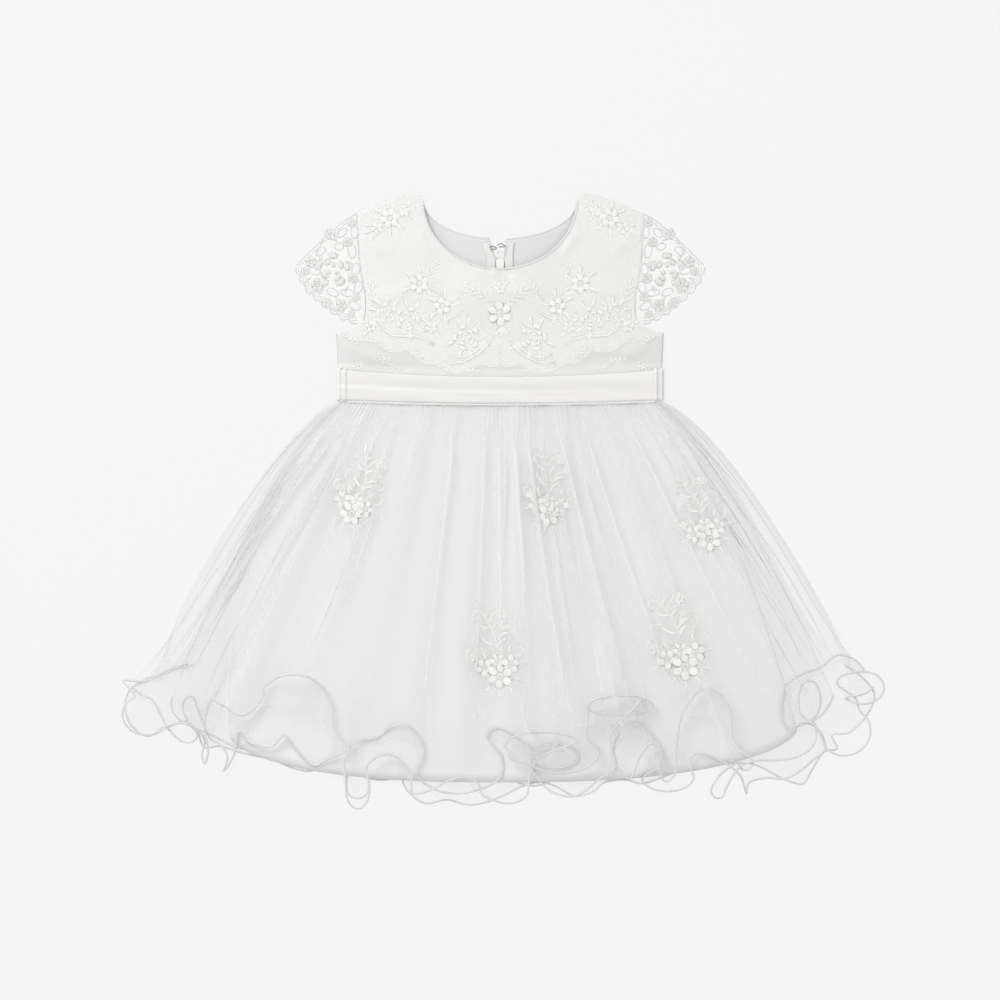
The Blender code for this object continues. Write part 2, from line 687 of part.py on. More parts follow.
def zip_slider(metal):
    """The slider: a body inside the dress, a neck through the slit and a bridge that holds the pull."""
    body_low = ZIP_RIDGE + CLOTH + SEAM
    # The bridge and neck are one frame in the middle plane, cut by a window.
    low, high = BRIDGE_BOTTOM_Z, body_low + SLIDER_WALL / 3
    ends = (SLIDER_Y - BRIDGE_HALF_LENGTH, SLIDER_Y + BRIDGE_HALF_LENGTH)
    outline = [(ends[0], low), (ends[1], low), (ends[1], high), (ends[0], high)]
    low, high = WINDOW_Z
    ends = (SLIDER_Y - WINDOW_HALF_LENGTH, SLIDER_Y + WINDOW_HALF_LENGTH)
    window = [(ends[0], low), (ends[0], high), (ends[1], high), (ends[1], low)]
    side, faces = filled([np.array(outline), np.array(window)], [])
    points = np.vstack([[(x, y, z) for y, z in side] for x in (BRIDGE_HALF_WIDTH, -BRIDGE_HALF_WIDTH)])
    count = len(side)
    walls = [tuple(f) for f in faces] + [tuple(count + i for i in reversed(f)) for f in faces]
    for start in (0, 4):
        for i in range(4):
            a, b = start + i, start + (i + 1) % 4
            walls.append((a, count + a, count + b, b))
    bridge = add_object("zip_bridge_frame", points, walls, metal)
    half_plan = [(2.3, -4.6), (3.2, -1.0), (3.2, 3.2), (2.0, 4.6)]
    body_outline = half_plan + [(-x, y) for x, y in half_plan[::-1]]
    body_outline = np.array(body_outline) + (0.0, SLIDER_Y)
    slider = laid_wall(
        "zip_slider",
        body_outline,
        lambda x, y: np.full(np.shape(x), body_low),
        lambda x, y: np.full(np.shape(x), body_low + SLIDER_WALL),
        metal,
        20.0,
    )
    join = slider.modifiers.new("bridge", "BOOLEAN")
    join.operation = "UNION"
    join.solver = "EXACT"
    join.object = bridge
    bridge.hide_render = True
    bridge.display_type = "WIRE"


def zip_pull(metal):
    """The pull tab: a plate with a window whose end bar lies in the slider's bridge."""
    half, bar = PULL_WIDTH / 2, PULL_BAR_HALF
    tip_y = SLIDER_Y + PULL_LENGTH
    outline = [
        (-half * 0.72, SLIDER_Y - bar),
        (half * 0.72, SLIDER_Y - bar),
        (half, SLIDER_Y + 6.0),
        (half * 0.9, tip_y - 1.2),
        (half * 0.5, tip_y - 0.2),
        (-half * 0.5, tip_y - 0.2),
        (-half * 0.9, tip_y - 1.2),
        (-half, SLIDER_Y + 6.0),
    ]
    near = [(-1.0, SLIDER_Y + bar), (-1.0, SLIDER_Y + 3.4), (1.0, SLIDER_Y + 3.4), (1.0, SLIDER_Y + bar)]
    far = oval(0.0, SLIDER_Y + 8.4, 1.5, 1.1, 90.0)
    low = PULL_AXIS_Z - PULL_WALL / 2
    tab = laid_wall(
        "zip_pull_tab",
        np.array(outline),
        lambda x, y: np.full(np.shape(x), low),
        lambda x, y: np.full(np.shape(x), low + PULL_WALL),
        metal,
        30.0,
        holes=[np.array(near), far],
    )
    axis = Vector((0.0, SLIDER_Y, PULL_AXIS_Z)) * MM
    tab.data.transform(Matrix.Translation(-axis))
    tab.location = axis


# Skirt.


def sprays(layer, grid, thread):
    """Floral sprays on the outer tulle: each is made from the tulle's own points, moved out."""
    shares = columns_of(OUTER_FLUTES)
    rows = rows_of(OUTER_ROWS)

    def under(x, y):
        """The tulle's height at (x, y), from the four corners of its cell."""
        u, v = layer.found(x, y)
        s = np.interp(u, layer.u, layer.share)
        j = np.clip(np.searchsorted(shares, s) - 1, 0, len(shares) - 2)
        i = np.clip(np.searchsorted(rows, v) - 1, 0, len(rows) - 2)
        a = (s - shares[j]) / (shares[j + 1] - shares[j])
        b = (v - rows[i]) / (rows[i + 1] - rows[i])
        top = grid[i, j, 2] * (1 - a) + grid[i, j + 1, 2] * a
        low = grid[i + 1, j, 2] * (1 - a) + grid[i + 1, j + 1, 2] * a
        return top * (1 - b) + low * b + CLOTH / 2 + SPRAY_GAP

    for number, (x, y, degrees, length) in enumerate(SPRAYS, 1):
        turn = math.radians(degrees)

        def place(points, x=x, y=y, turn=turn, length=length):
            a, b = np.array(points, float)[:, :2].T * length
            return np.column_stack(
                [x + a * math.cos(turn) + b * math.sin(turn), y - a * math.sin(turn) + b * math.cos(turn)]
            )

        left = [(a, b) for b, a, _ in SPRAY_EDGE]
        right = [(a, b) for b, _, a in SPRAY_EDGE]
        centres = place([(a, b) for a, b, _ in SPRAY_FLOWERS])
        flowers = [(cx, cy, f[2]) for (cx, cy), f in zip(centres, SPRAY_FLOWERS)]
        relief = [p for f in flowers for p in flower_points(*f)]

        def high(x, y, flowers=flowers):
            return under(x, y) + LACE + flower_height(x, y, flowers, 0.8)

        laid_wall(f"spray_{number}", place(left + right[::-1]), under, high, thread, 7.0, relief=relief)


class Layer:
    """One layer of the skirt's front or back: a sheet over (s, v).

    s runs along the hem from the left side to the right, and v from the waist to the hem.
    """

    def __init__(self, sizes):
        self.sizes = sizes
        u = np.linspace(-1, 1, 801)
        x, y = self.flat(u, np.ones_like(u))
        step = np.hypot(np.diff(x), np.diff(y))
        self.share = np.append(0, np.cumsum(step)) / step.sum()
        self.u = u

    def flat(self, u, v):
        """Where the sheet lies seen from above: each line from waist to hem is a curve."""
        u, v = np.broadcast_arrays(np.asarray(u, float), np.asarray(v, float))
        far = np.abs(u)
        weight = 1 - (1 - np.clip(far, 0, 1) ** HEM_ROUND) ** HEM_FLATNESS
        x = np.zeros_like(u)
        side_y = np.zeros_like(u)
        for side, chosen in (("left", u < 0), ("right", u >= 0)):
            (x1, y1), (x2, y2), (x3, y3) = self.sizes[side]
            x = np.where(chosen, bezier(self.sizes["half"], x1, x2, x3, v), x)
            side_y = np.where(chosen, bezier(WAIST_SIDE_Y, y1, y2, y3, v), side_y)
        middle_y = WAIST_MIDDLE_Y + (self.sizes["middle"] - WAIST_MIDDLE_Y) * v
        y = (1 - weight) * middle_y + weight * side_y
        seam = waist_y(self.sizes["half"] * u) - (WAIST_MIDDLE_Y + (WAIST_SIDE_Y - WAIST_MIDDLE_Y) * weight)
        return u * x, y + (seam - SEAM) * (1 - v) ** 2

    def found(self, x, y):
        """(u, v) of the place that lies at (x, y), by repeated correction."""
        v = (WAIST_MIDDLE_Y - y) / (WAIST_MIDDLE_Y - self.sizes["middle"])
        u = x / 200.0
        for _ in range(40):
            u, v = np.clip(u, -0.99, 0.99), np.clip(v, 0.01, 0.99)
            at_x, at_y = self.flat(u, v)
            side_x = np.where(np.abs(u) < 1e-3, 150.0 + 130.0 * v, at_x / np.where(np.abs(u) < 1e-3, 1, u))
            u = u + 0.8 * (x - at_x) / side_x
            v = v + 0.8 * (at_y - y) / (WAIST_MIDDLE_Y - self.sizes["middle"])
        return u, v

    def spot(self, s, v):
        return self.flat(np.interp(s, self.share, self.u), v)


def flute_ends(table):
    width = np.array(table, float)[:, 0]
    return np.append(0, np.cumsum(width / width.sum()))


def columns_of(table, each=FLUTE_COLUMNS):
    """Shares along the hem, with the same number in every flute."""
    ends = flute_ends(table)
    return np.interp(np.arange((len(ends) - 1) * each + 1) / each, np.arange(len(ends)), ends)


def flutes(table, s):
    """The phase of the flutes at s, and their lift, lean and swing there."""
    ends = flute_ends(table)
    middles = (ends[:-1] + ends[1:]) / 2
    turns = np.interp(s, ends, np.arange(len(ends)))
    return turns, *[np.interp(s, middles, np.array(table, float)[:, k]) for k in (1, 2, 3)]


def rise_of(v):
    """How a fold grows from the waist to the hem."""
    return smoothstep(0.0, 0.2, v) * (0.14 + 0.86 * np.asarray(v) ** 2.6)


def gather_of(v):
    """How the waist's gathers die away."""
    return GATHER_HEIGHT * (1 - smoothstep(0.03, 0.30, v))


def tulle_sheet(layer, table, base, edge_z, s, v):
    """A gathered layer of tulle, as a grid of points.

    Flutes rise as one minus the cosine of their phase, lean along the hem by the same shape, and
    swing out past the hem by its sine, so that the hem loops seen from above and never meets itself.
    Gathers at the waist stand on every other column. At its sides the layer comes down to edge_z.
    """
    s, v = np.broadcast_arrays(s, v)
    u = np.interp(s, layer.share, layer.u)
    x, y = layer.flat(u, v)
    near = 1e-3
    x1, y1 = layer.spot(np.clip(s + near, 0, 1), v)
    x0, y0 = layer.spot(np.clip(s - near, 0, 1), v)
    along = np.stack([x1 - x0, y1 - y0])
    along /= np.linalg.norm(along, axis=0)
    out = np.stack([along[1], -along[0]])
    turns, lift, lean, swing = flutes(table, s)
    phase = 2 * math.pi * turns
    crest = (1 - np.cos(phase)) / 2
    curl = smoothstep(CURL_START, 1.0, v)
    dome = (1 - np.abs(u) ** (70 - 50 * v)) ** 0.5
    gather = gather_of(v) * (1 - np.cos(math.pi * turns * FLUTE_COLUMNS)) / 2
    z = edge_z + (base(v) - edge_z + gather) * dome + lift * rise_of(v) * crest
    shift_x = lean * curl * crest * along[0] - swing * curl * np.sin(phase) * out[0]
    shift_y = lean * curl * crest * along[1] - swing * curl * np.sin(phase) * out[1]
    return np.stack([x + shift_x, y + shift_y, z], axis=-1)


def inner_base(v):
    """The inner tulle's lowest line, which clears the lining's folds."""
    return FRONT_LINING_Z + 1.5 * CLOTH + SEAM + LINING_FOLD * smoothstep(0.05, 0.25, v)


def outer_base(v):
    """The outer tulle's lowest line, which clears the inner tulle's crests and gathers."""
    return inner_base(v) + CLOTH + OUTER_GAP + gather_of(v) + INNER_LIFT * rise_of(v)


def outer_sheet(s, v):
    return tulle_sheet(Layer(OUTER), OUTER_FLUTES, outer_base, CLOTH + SEAM + HEM_CORD / 2, s, v)


def inner_sheet(s, v):
    return tulle_sheet(Layer(INNER), INNER_FLUTES, inner_base, 2 * (CLOTH + SEAM) + HEM_CORD / 2, s, v)


def rows_of(count):
    """Shares from the waist to the hem, closer together near the hem."""
    return 1 - (1 - np.linspace(0, 1, count)) ** 1.25


def sheet_grid(sheet, table, rows):
    """The layer's grid of points."""
    s, v = np.meshgrid(columns_of(table), rows_of(rows))
    return sheet(s, v)


def tulle_wall(name, grid, tulle):
    """A layer's wall, with the cord rolled into its hem."""
    thickness = np.full(len(grid), CLOTH)
    thickness[-1] = HEM_CORD
    grid_wall(name, grid, thickness[:, None, None], tulle)


def panel_outline(layer, waves=0, swing=0.0, steps=34, side_steps=8):
    """The outline of a skirt panel that lies flat, with waves along its hem."""
    s = np.linspace(0, 1, steps)
    x, y = layer.spot(s, np.ones(steps))
    out = np.gradient(np.column_stack([x, y]), axis=0)
    out = np.column_stack([out[:, 1], -out[:, 0]]) / np.hypot(*out.T)[:, None]
    wave = swing * np.sin(math.pi * s) ** 0.5 * (1 - np.cos(2 * math.pi * waves * s)) / 2
    hem = np.column_stack([x, y]) + out * wave[:, None]
    v = np.linspace(1, 0, side_steps)[1:]
    right = np.column_stack(layer.spot(np.ones(side_steps - 1), v))
    left = np.column_stack(layer.spot(np.zeros(side_steps - 1), v))[::-1]
    waist_s = np.interp(np.linspace(-1, 1, 11)[1:-1], layer.u, layer.share)[::-1]
    waist = np.column_stack(layer.spot(waist_s, np.zeros(9)))
    return np.vstack([hem, right, waist, left[:-1]])


def lining_sheet(layer):
    """The lining's front, with soft folds that fan out from the waist and fade at the sides."""
    s, v = np.meshgrid(np.linspace(0, 1, 4 * LINING_FOLDS + 1), np.linspace(0, 1, 6))
    x, y = layer.spot(s, v)
    fade = smoothstep(0.05, 0.3, v) * (1 - (2 * s - 1) ** 6)
    fold = LINING_FOLD * fade * (1 - np.cos(2 * math.pi * LINING_FOLDS * s)) / 2
    return np.dstack([x, y, FRONT_LINING_Z + CLOTH / 2 + fold])


def flat_panel(name, layer, low_z, finish, spacing, **more):
    laid_wall(
        name,
        panel_outline(layer, **more),
        lambda x, y: np.full(np.shape(x), low_z),
        lambda x, y: np.full(np.shape(x), low_z + CLOTH),
        finish,
        spacing,
    )


def skirt(tulle, satin, thread):
    """The lining and two layers of tulle, each a front and a back."""
    outer, inner, lining = Layer(OUTER), Layer(INNER), Layer(LINING)
    flat_panel("tulle_outer_back", outer, 0.0, tulle, 60.0, waves=BACK_WAVES, swing=BACK_WAVE_SWING, steps=72)
    flat_panel("tulle_inner_back", inner, BACK_INNER_Z, tulle, 60.0)
    flat_panel("lining_back", lining, BACK_LINING_Z, satin, 60.0)
    grid_wall("lining_front", lining_sheet(lining), CLOTH, satin)
    inner_grid = sheet_grid(inner_sheet, INNER_FLUTES, INNER_ROWS)
    tulle_wall("tulle_inner_front", inner_grid, tulle)
    outer_grid = sheet_grid(outer_sheet, OUTER_FLUTES, OUTER_ROWS)
    tulle_wall("tulle_outer_front", outer_grid, tulle)
    sprays(outer, outer_grid, thread)


def main():
    for old in list(bpy.data.objects):
        bpy.data.objects.remove(old)
    satin = material("ivory satin", (0.86, 0.85, 0.82), 0.35)
    tulle = material("white tulle", (0.88, 0.88, 0.88), 0.8, alpha=0.6)
    lace = material("embroidered lace", (0.90, 0.89, 0.86), 0.7)
    thread = material("embroidery thread", (0.90, 0.90, 0.88), 0.6)
    tape = material("zip tape", (0.85, 0.84, 0.82), 0.8)
    metal = material("white enamelled metal", (0.80, 0.80, 0.80), 0.3)
    bodice(satin)
    bodice_lace(lace)
    sleeves(lace)
    sash(satin)
    zip_tapes(tape)
    zip_slider(metal)
    zip_pull(metal)
    skirt(tulle, satin, thread)


main()
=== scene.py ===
"""Dresses the frame of a baby's tulle party dress, which lies flat on its back with its front up.

Sizes are in millimetres, in the frame's own axes: X across the dress, Y from the hem to the neck and
Z up from the surface. Each shape is a surface over two parameters, or a round profile along a path.
"""

import math

import bpy
import numpy as np
from bpy.props import FloatProperty, FloatVectorProperty, IntProperty, PointerProperty
from bpy.types import Operator, Panel, PropertyGroup
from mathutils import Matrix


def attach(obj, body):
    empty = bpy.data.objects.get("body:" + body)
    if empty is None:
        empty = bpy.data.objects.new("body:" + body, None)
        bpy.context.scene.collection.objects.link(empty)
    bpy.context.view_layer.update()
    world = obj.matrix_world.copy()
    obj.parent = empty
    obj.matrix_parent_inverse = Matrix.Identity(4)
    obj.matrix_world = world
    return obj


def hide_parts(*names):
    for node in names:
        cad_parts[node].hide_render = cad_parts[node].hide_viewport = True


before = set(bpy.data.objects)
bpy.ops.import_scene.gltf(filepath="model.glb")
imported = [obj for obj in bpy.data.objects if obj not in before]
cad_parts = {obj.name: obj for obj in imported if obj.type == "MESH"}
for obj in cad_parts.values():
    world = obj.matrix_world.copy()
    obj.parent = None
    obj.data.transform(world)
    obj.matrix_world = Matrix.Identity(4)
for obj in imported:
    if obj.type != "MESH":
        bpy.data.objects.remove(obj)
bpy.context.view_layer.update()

bl_info = {
    "name": "Tulle Party Dress",
    "version": (1, 0, 0),
    "blender": (4, 5, 0),
    "location": "3D View > Sidebar > Dress",
    "description": "Makes the satin, lace, tulle and trims of a baby's party dress that lies flat",
    "category": "Object",
}

MM = 0.001

# Walls and gaps of the frame's cloth.
CLOTH = 1.0
SEAM = 0.3

# Bodice.
HALF_WAIST = 128.8
WAIST_SIDE_Y = 79.2
WAIST_MIDDLE_Y = 76.4
NECK_HALF = 61.8
NECK_TOP_Y = 240.0
FRONT_NECK_DEPTH = 55.2
BACK_NECK_DEPTH = 31.2
SHOULDER = [(63.2, 246.4), (80.0, 243.2), (97.6, 236.8), (114.4, 229.6)]
ARMHOLE = [(114.4, 229.6), (111.6, 188.0), (108.0, 168.0), (107.2, 153.0), (109.0, 143.0)]
UNDERARM = [(109.0, 143.0), (119.5, 137.2), (131.2, 133.6)]
CROWN = 2.2
CROWN_HALF = 132.0
ZIP_RIDGE = 2.2
RIDGE_HALF = 16.5
RIDGE_REACH = 52.0
RIDGE_Y = (132.0, 172.0)

# Where lines of cloth that start along the neck, shoulder, armhole and underarm meet the waist.
RIM_STOPS = [0.0, 0.38, 0.42, 0.58, 0.88, 1.0]
FOOT_STOPS = [0.0, 0.38, 0.42, 0.58, 0.80, 0.88, 1.0]
RIM_FEET = [0.0, 50.0, 52.0, 76.0, 86.0, 104.0, 128.8]

# Soft creases of the bodice. Columns: from x, y, to x, y, half width, height.
BODICE_CREASES = [
    (-2.0, 186.0, -5.0, 178.0, 2.2, 1.3), (3.0, 185.5, 12.0, 180.0, 2.4, -0.9),
    (-106.0, 160.0, -66.0, 176.0, 6.0, 0.9), (104.0, 156.0, 70.0, 172.0, 6.5, 0.9),
    (-126.0, 128.0, -92.0, 112.0, 5.0, 1.1), (-118.0, 110.0, -70.0, 106.0, 4.0, -0.8),
    (124.0, 126.0, 96.0, 109.0, 5.0, 1.1), (116.0, 108.0, 62.0, 109.0, 4.0, -0.8),
    (-112.0, 214.0, -86.0, 196.0, 6.0, 0.8), (110.0, 212.0, 88.0, 194.0, 6.0, 0.8),
    (-66.0, 218.0, -52.0, 196.0, 4.0, 0.7), (66.0, 216.0, 50.0, 194.0, 4.0, 0.7),
    (-40.0, 172.0, 36.0, 170.0, 7.0, 0.5),
]

# Sash.
SASH_MIDDLE_TOP = 98.8
SASH_SIDE_TOP = 104.4
SASH_HALF = 131.5
SASH_WALL = 1.0
SASH_END_DROP = 9.0
SASH_FOLD = 0.9

# Zip.
SLIDER_Y = 188.5
SLIDER_HALF_LENGTH = 4.6
ZIP_BOTTOM_Y = 84.0
ZIP_TOP_Y = 206.0

# Sleeves, right one: the fold on top, then the hem from the tip to the underarm.
SLEEVE_TOP = [(114.9, 229.2), (124.8, 223.4), (139.2, 211.2), (152.8, 198.4), (162.8, 188.0)]
SLEEVE_HEM = [(162.8, 188.0), (156.4, 172.8), (144.0, 160.0), (129.0, 148.6), (113.4, 142.0)]
SCALLOPS = 8
SCALLOP_DEPTH = 2.4
# Openings between the motifs. Columns: x, y, half length, half width, turn in degrees.
SLEEVE_GAPS = [
    (116.8, 214.5, 4.6, 2.3, 80.0), (126.5, 214.0, 4.2, 2.2, -40.0), (118.6, 199.5, 5.4, 2.6, 84.0),
    (129.0, 203.0, 3.2, 2.3, 15.0), (115.8, 184.5, 4.6, 2.4, 98.0), (143.5, 199.5, 4.0, 2.2, -40.0),
    (113.6, 170.5, 4.4, 2.6, 100.0), (122.5, 166.0, 4.8, 2.3, 8.0), (148.6, 183.5, 4.2, 2.3, 20.0),
    (134.0, 166.5, 4.4, 2.3, 25.0), (116.5, 155.5, 4.4, 2.4, 30.0),
]

# Skirt: half the waist, the sides' control points and hem corners (x, y), the hem's middle.
OUTER = {
    "half": 129.6,
    "left": [(175, 62), (235, -40), (288, -150)],
    "right": [(175, 62), (237, -40), (293, -148)],
    "middle": -229.0,
}
INNER = {
    "half": 126.4,
    "left": [(168, 58), (222, -42), (266, -158)],
    "right": [(168, 58), (222, -42), (270, -156)],
    "middle": -225.0,
}
LINING = {
    "half": 123.2,
    "left": [(162, 50), (228, -75), (216, -190)],
    "right": [(160, 50), (208, -70), (238, -184)],
    "middle": -226.0,
}
HEM_ROUND = 2.6
HEM_FLATNESS = 0.62
LINING_FOLDS = 9
LINING_FOLD = 1.4
INNER_LIFT = 8.0
NET_WIDTH = 620.0
NET_LENGTH = 310.0
GATHER_HEIGHT = 1.2
# Flutes of the two hems, left to right. Columns: width (share of the hem), lift.
OUTER_FLUTES = [
    (0.060, 7.0), (0.055, 9.0), (0.050, 10.0), (0.085, 13.0), (0.110, 14.0), (0.065, 10.0), (0.070, 9.0),
    (0.085, 12.0), (0.075, 12.0), (0.075, 13.0), (0.060, 9.0), (0.075, 10.0), (0.065, 10.0), (0.060, 9.0),
    (0.055, 7.0),
]
INNER_FLUTES = [
    (0.080, 4.0), (0.070, 6.0), (0.090, 6.5), (0.070, 6.0), (0.080, 6.0), (0.090, 6.5), (0.085, 6.5),
    (0.090, 6.5), (0.080, 6.0), (0.070, 6.0), (0.075, 6.0), (0.070, 5.0), (0.050, 4.0),
]

# Long folds of the outer front, where the net doubles over itself.
# Columns: share of the hem where it starts and ends, first and last v, overlap and height in mm.
OUTER_FOLDS = [
    (0.055, 0.030, 0.05, 0.90, 7.0, 2.0), (0.110, 0.082, 0.04, 0.80, 6.0, 1.8),
    (0.215, 0.196, 0.03, 0.62, 6.0, 1.6), (0.372, 0.388, 0.02, 0.90, 9.0, 2.0),
    (0.455, 0.460, 0.01, 0.88, 10.0, 2.2), (0.492, 0.500, 0.02, 0.82, 7.0, 2.0),
    (0.530, 0.552, 0.01, 0.60, 8.0, 3.4), (0.565, 0.600, 0.02, 0.86, 9.0, 2.2),
    (0.655, 0.690, 0.02, 0.90, 8.0, 2.0), (0.720, 0.760, 0.02, 0.84, 7.0, 2.0),
    (0.842, 0.868, 0.03, 0.90, 8.0, 2.2), (0.912, 0.940, 0.08, 0.92, 9.0, 2.2),
    (0.016, 0.014, 0.01, 0.98, 2.6, 0.8), (0.032, 0.028, 0.01, 0.97, 3.0, 0.8),
    (0.044, 0.046, 0.02, 0.98, 2.4, 0.8), (0.066, 0.060, 0.01, 0.96, 3.2, 0.9),
    (0.092, 0.086, 0.02, 0.97, 2.8, 0.8), (0.128, 0.112, 0.01, 0.94, 3.0, 0.9),
    (0.902, 0.916, 0.01, 0.95, 3.0, 0.9), (0.926, 0.930, 0.02, 0.97, 2.6, 0.8),
    (0.938, 0.948, 0.01, 0.96, 3.2, 0.9), (0.958, 0.956, 0.01, 0.98, 2.4, 0.8),
    (0.970, 0.974, 0.02, 0.97, 3.0, 0.8), (0.985, 0.986, 0.01, 0.98, 2.6, 0.8),
]

# Routes of the plastic cords in the curly hems, left to right, seen from above.
# A row is a point (x, y), or a curl (x, y, half width, half height, start and sweep in degrees).
OUTER_CORD = [
    (-250, -131), (-268, -137), (-285, -145), (-301, -144), (-297, -150),
    (-283, -171, 18.5, 16.5, 118, 205), (-253, -178), (-242, -183), (-236, -192), (-238, -203),
    (-236, -211), (-233, -200), (-236, -180), (-231, -160), (-222, -163), (-209, -171.5), (-199, -169),
    (-189, -157), (-165, -169, 31, 30, 140, -135), (-134, -178), (-129, -188), (-121, -196), (-124, -210),
    (-113.5, -231, 9.5, 15, 170, 200), (-106, -212), (-92, -203), (-79, -208), (-71, -220), (-70, -234),
    (-56, -231.5), (-41, -224), (-26, -222), (-17, -227), (-14, -235), (-4, -240), (9, -242), (21, -236),
    (24, -220), (30, -207), (45, -199), (34, -196, 30, 11, 20, 190), (8, -206),
    (48, -202, 31, 16, 215, 190), (70, -178), (96, -164, 26, 8, 190, -500), (97, -176), (89, -186),
    (89, -198), (94, -213), (104, -222), (112, -204), (121, -194), (129, -201), (127, -214), (132, -225),
    (140, -218), (141, -200), (144, -176), (151, -161), (162, -151.5), (175, -154), (184, -170),
    (186, -190), (196, -201), (196, -210, 5.5, 5.5, 60, -250), (178, -217), (170, -227),
    (174, -232, 5.5, 6, 170, 190), (184, -223), (191, -213), (203, -208), (218, -208), (233, -206),
    (246, -200), (252, -191), (252, -180), (247, -160, 9, 16, 285, 300), (253, -182), (258, -193),
    (275, -184, 21, 20, 225, 190), (284, -158), (270, -148), (272, -141), (290, -150, 17, 13, 105, -250),
    (291, -155), (299, -150),
]
INNER_CORD = [
    (-246, -132), (-262, -136), (-279, -144), (-293, -149), (-288, -155), (-278, -160), (-272, -170),
    (-266, -182), (-250, -188, 8, 6, 215, 190), (-250, -177), (-254, -163), (-246, -157), (-240, -172),
    (-232, -190), (-224, -195), (-218, -205), (-221, -217), (-213, -204), (-209, -185), (-200, -194),
    (-183, -197), (-173, -188), (-166, -195), (-159, -204), (-149, -212), (-139, -208), (-126, -202),
    (-113, -193), (-98, -190), (-86, -181), (-73, -180), (-64, -190), (-61, -202), (-66, -220),
    (-53, -231), (-38, -234.5), (-23, -233), (-8, -228), (1, -220), (2, -208), (-2, -200), (-10, -190),
    (-2, -182), (18, -192), (44, -205, 19, 9.5, 150, -330), (30, -222), (41, -233), (56, -237), (67, -233),
    (78, -224), (92, -214), (90, -198), (98, -182), (110, -178), (122, -187), (129, -198), (130, -212),
    (118, -219), (134, -221, 21, 12, 195, 190), (153, -205), (163, -203), (173, -207), (184, -213),
    (193, -222), (197, -235), (199, -226), (213, -222), (227, -223), (240, -217), (250, -208), (260, -199),
    (255, -184), (243, -178), (230, -183), (225, -170), (228, -150), (240, -140), (256, -134), (270, -124),
    (284, -128), (293, -138),
]
BACK_CORD = [
    (-250, -132), (-270, -138), (-291, -147), (-300, -160), (-297, -178), (-283, -189), (-266, -182),
    (-254, -177), (-243, -184), (-237, -198), (-224, -197), (-212, -201), (-200, -204), (-182, -208),
    (-165, -215), (-152, -217), (-138, -213), (-124, -217), (-114, -230, 9, 9, 170, 200), (-104, -217),
    (-90, -213), (-79, -218), (-77, -228), (-70, -237), (-59, -243), (-43, -240), (-26, -244), (-11, -242),
    (4, -236), (16, -230), (30, -226), (44, -229), (60, -237), (75, -233), (84, -226), (100, -224),
    (114, -227), (130, -222), (148, -215), (165, -211), (184, -211), (200, -211), (211, -215), (224, -222),
    (234, -226), (243, -227), (250, -216), (259, -202), (270, -199), (266, -188), (280, -186), (294, -172),
    (300, -156), (290, -142), (276, -132),
]

# Floral sprays. Columns: x, y, turn in degrees, length, and how far it lies below the outer net.
SPRAYS = [
    (-112.0, 8.0, 22.0, 60.0, 0.0), (39.0, 8.0, 3.0, 60.0, 2.2), (160.0, -12.0, -18.0, 62.0, 0.0),
    (-4.0, -119.0, -8.0, 66.0, 0.0), (141.0, -110.0, -14.0, 72.0, 0.0),
]

# Embroidery of the yoke, right half. Flowers: x, y, radius, petals. Roses: x, y, radius.
YOKE_FLOWERS = [
    (46.0, 155.0, 7.0, 5), (64.5, 173.0, 8.0, 6), (55.0, 138.0, 4.6, 5), (103.0, 139.0, 4.6, 5),
    (88.0, 225.5, 8.0, 6), (98.5, 217.5, 4.8, 5), (76.5, 231.0, 4.4, 5), (14.0, 124.0, 3.4, 5),
]
YOKE_ROSES = [(27.0, 130.0, 10.5), (74.0, 145.0, 9.5), (90.5, 149.5, 7.6)]
# Leaves about a flower: x, y, how far out they start, their length, and their directions in degrees.
YOKE_LEAVES = [
    (27.0, 130.0, 10.0, 8.0, (60, 95, 130, 250, 285, 335)),
    (46.0, 155.0, 6.5, 8.5, (25, 95, 165, 250, 310)),
    (64.5, 173.0, 7.5, 8.0, (35, 85, 145, 215, 330)),
    (74.0, 145.0, 9.0, 8.5, (80, 120, 165, 215, 255)),
    (90.5, 149.5, 7.0, 8.0, (10, 45, 85, 125, 320)),
    (55.0, 138.0, 4.5, 7.0, (40, 130, 220)),
    (103.0, 139.0, 4.5, 7.0, (20, 80, 300)),
    (88.0, 225.5, 7.5, 7.5, (25, 75, 150, 215, 265)),
    (98.5, 217.5, 4.5, 6.0, (10, 290, 330)),
    (76.5, 231.0, 4.0, 5.5, (110, 160, 230)),
    (14.0, 124.0, 3.4, 5.0, (70, 200)),
]
# Sprigs, each a stem with pairs of leaves: foot x and y, length and direction in degrees.
YOKE_SPRIGS = [
    (4.0, 158.0, 18.0, 28.0), (34.0, 160.0, 15.0, 120.0), (101.0, 156.0, 16.0, 78.0),
    (56.0, 180.0, 12.0, 115.0), (86.0, 111.0, 12.0, 5.0), (61.0, 112.5, 11.0, 50.0),
    (77.0, 104.0, 10.0, 20.0), (108.0, 110.0, 11.0, 330.0), (33.0, 102.0, 9.0, 12.0),
    (16.0, 102.0, 8.0, 10.0), (112.0, 124.0, 10.0, 30.0),
]
YOKE_SCROLLS = [
    [(0.5, 139.0), (8.0, 131.0), (17.0, 121.0), (31.0, 113.5), (42.0, 116.5)],
    [(98.0, 154.0), (95.5, 140.0), (86.0, 131.5), (66.0, 131.0), (52.0, 124.0)],
    [(3.0, 136.0), (11.0, 122.5), (21.0, 115.0), (33.0, 109.5), (45.0, 110.0)],
    [(49.0, 148.5), (44.0, 144.5), (37.0, 147.0), (30.0, 152.0)],
    [(57.0, 170.0), (51.0, 168.0), (46.0, 163.0)],
]
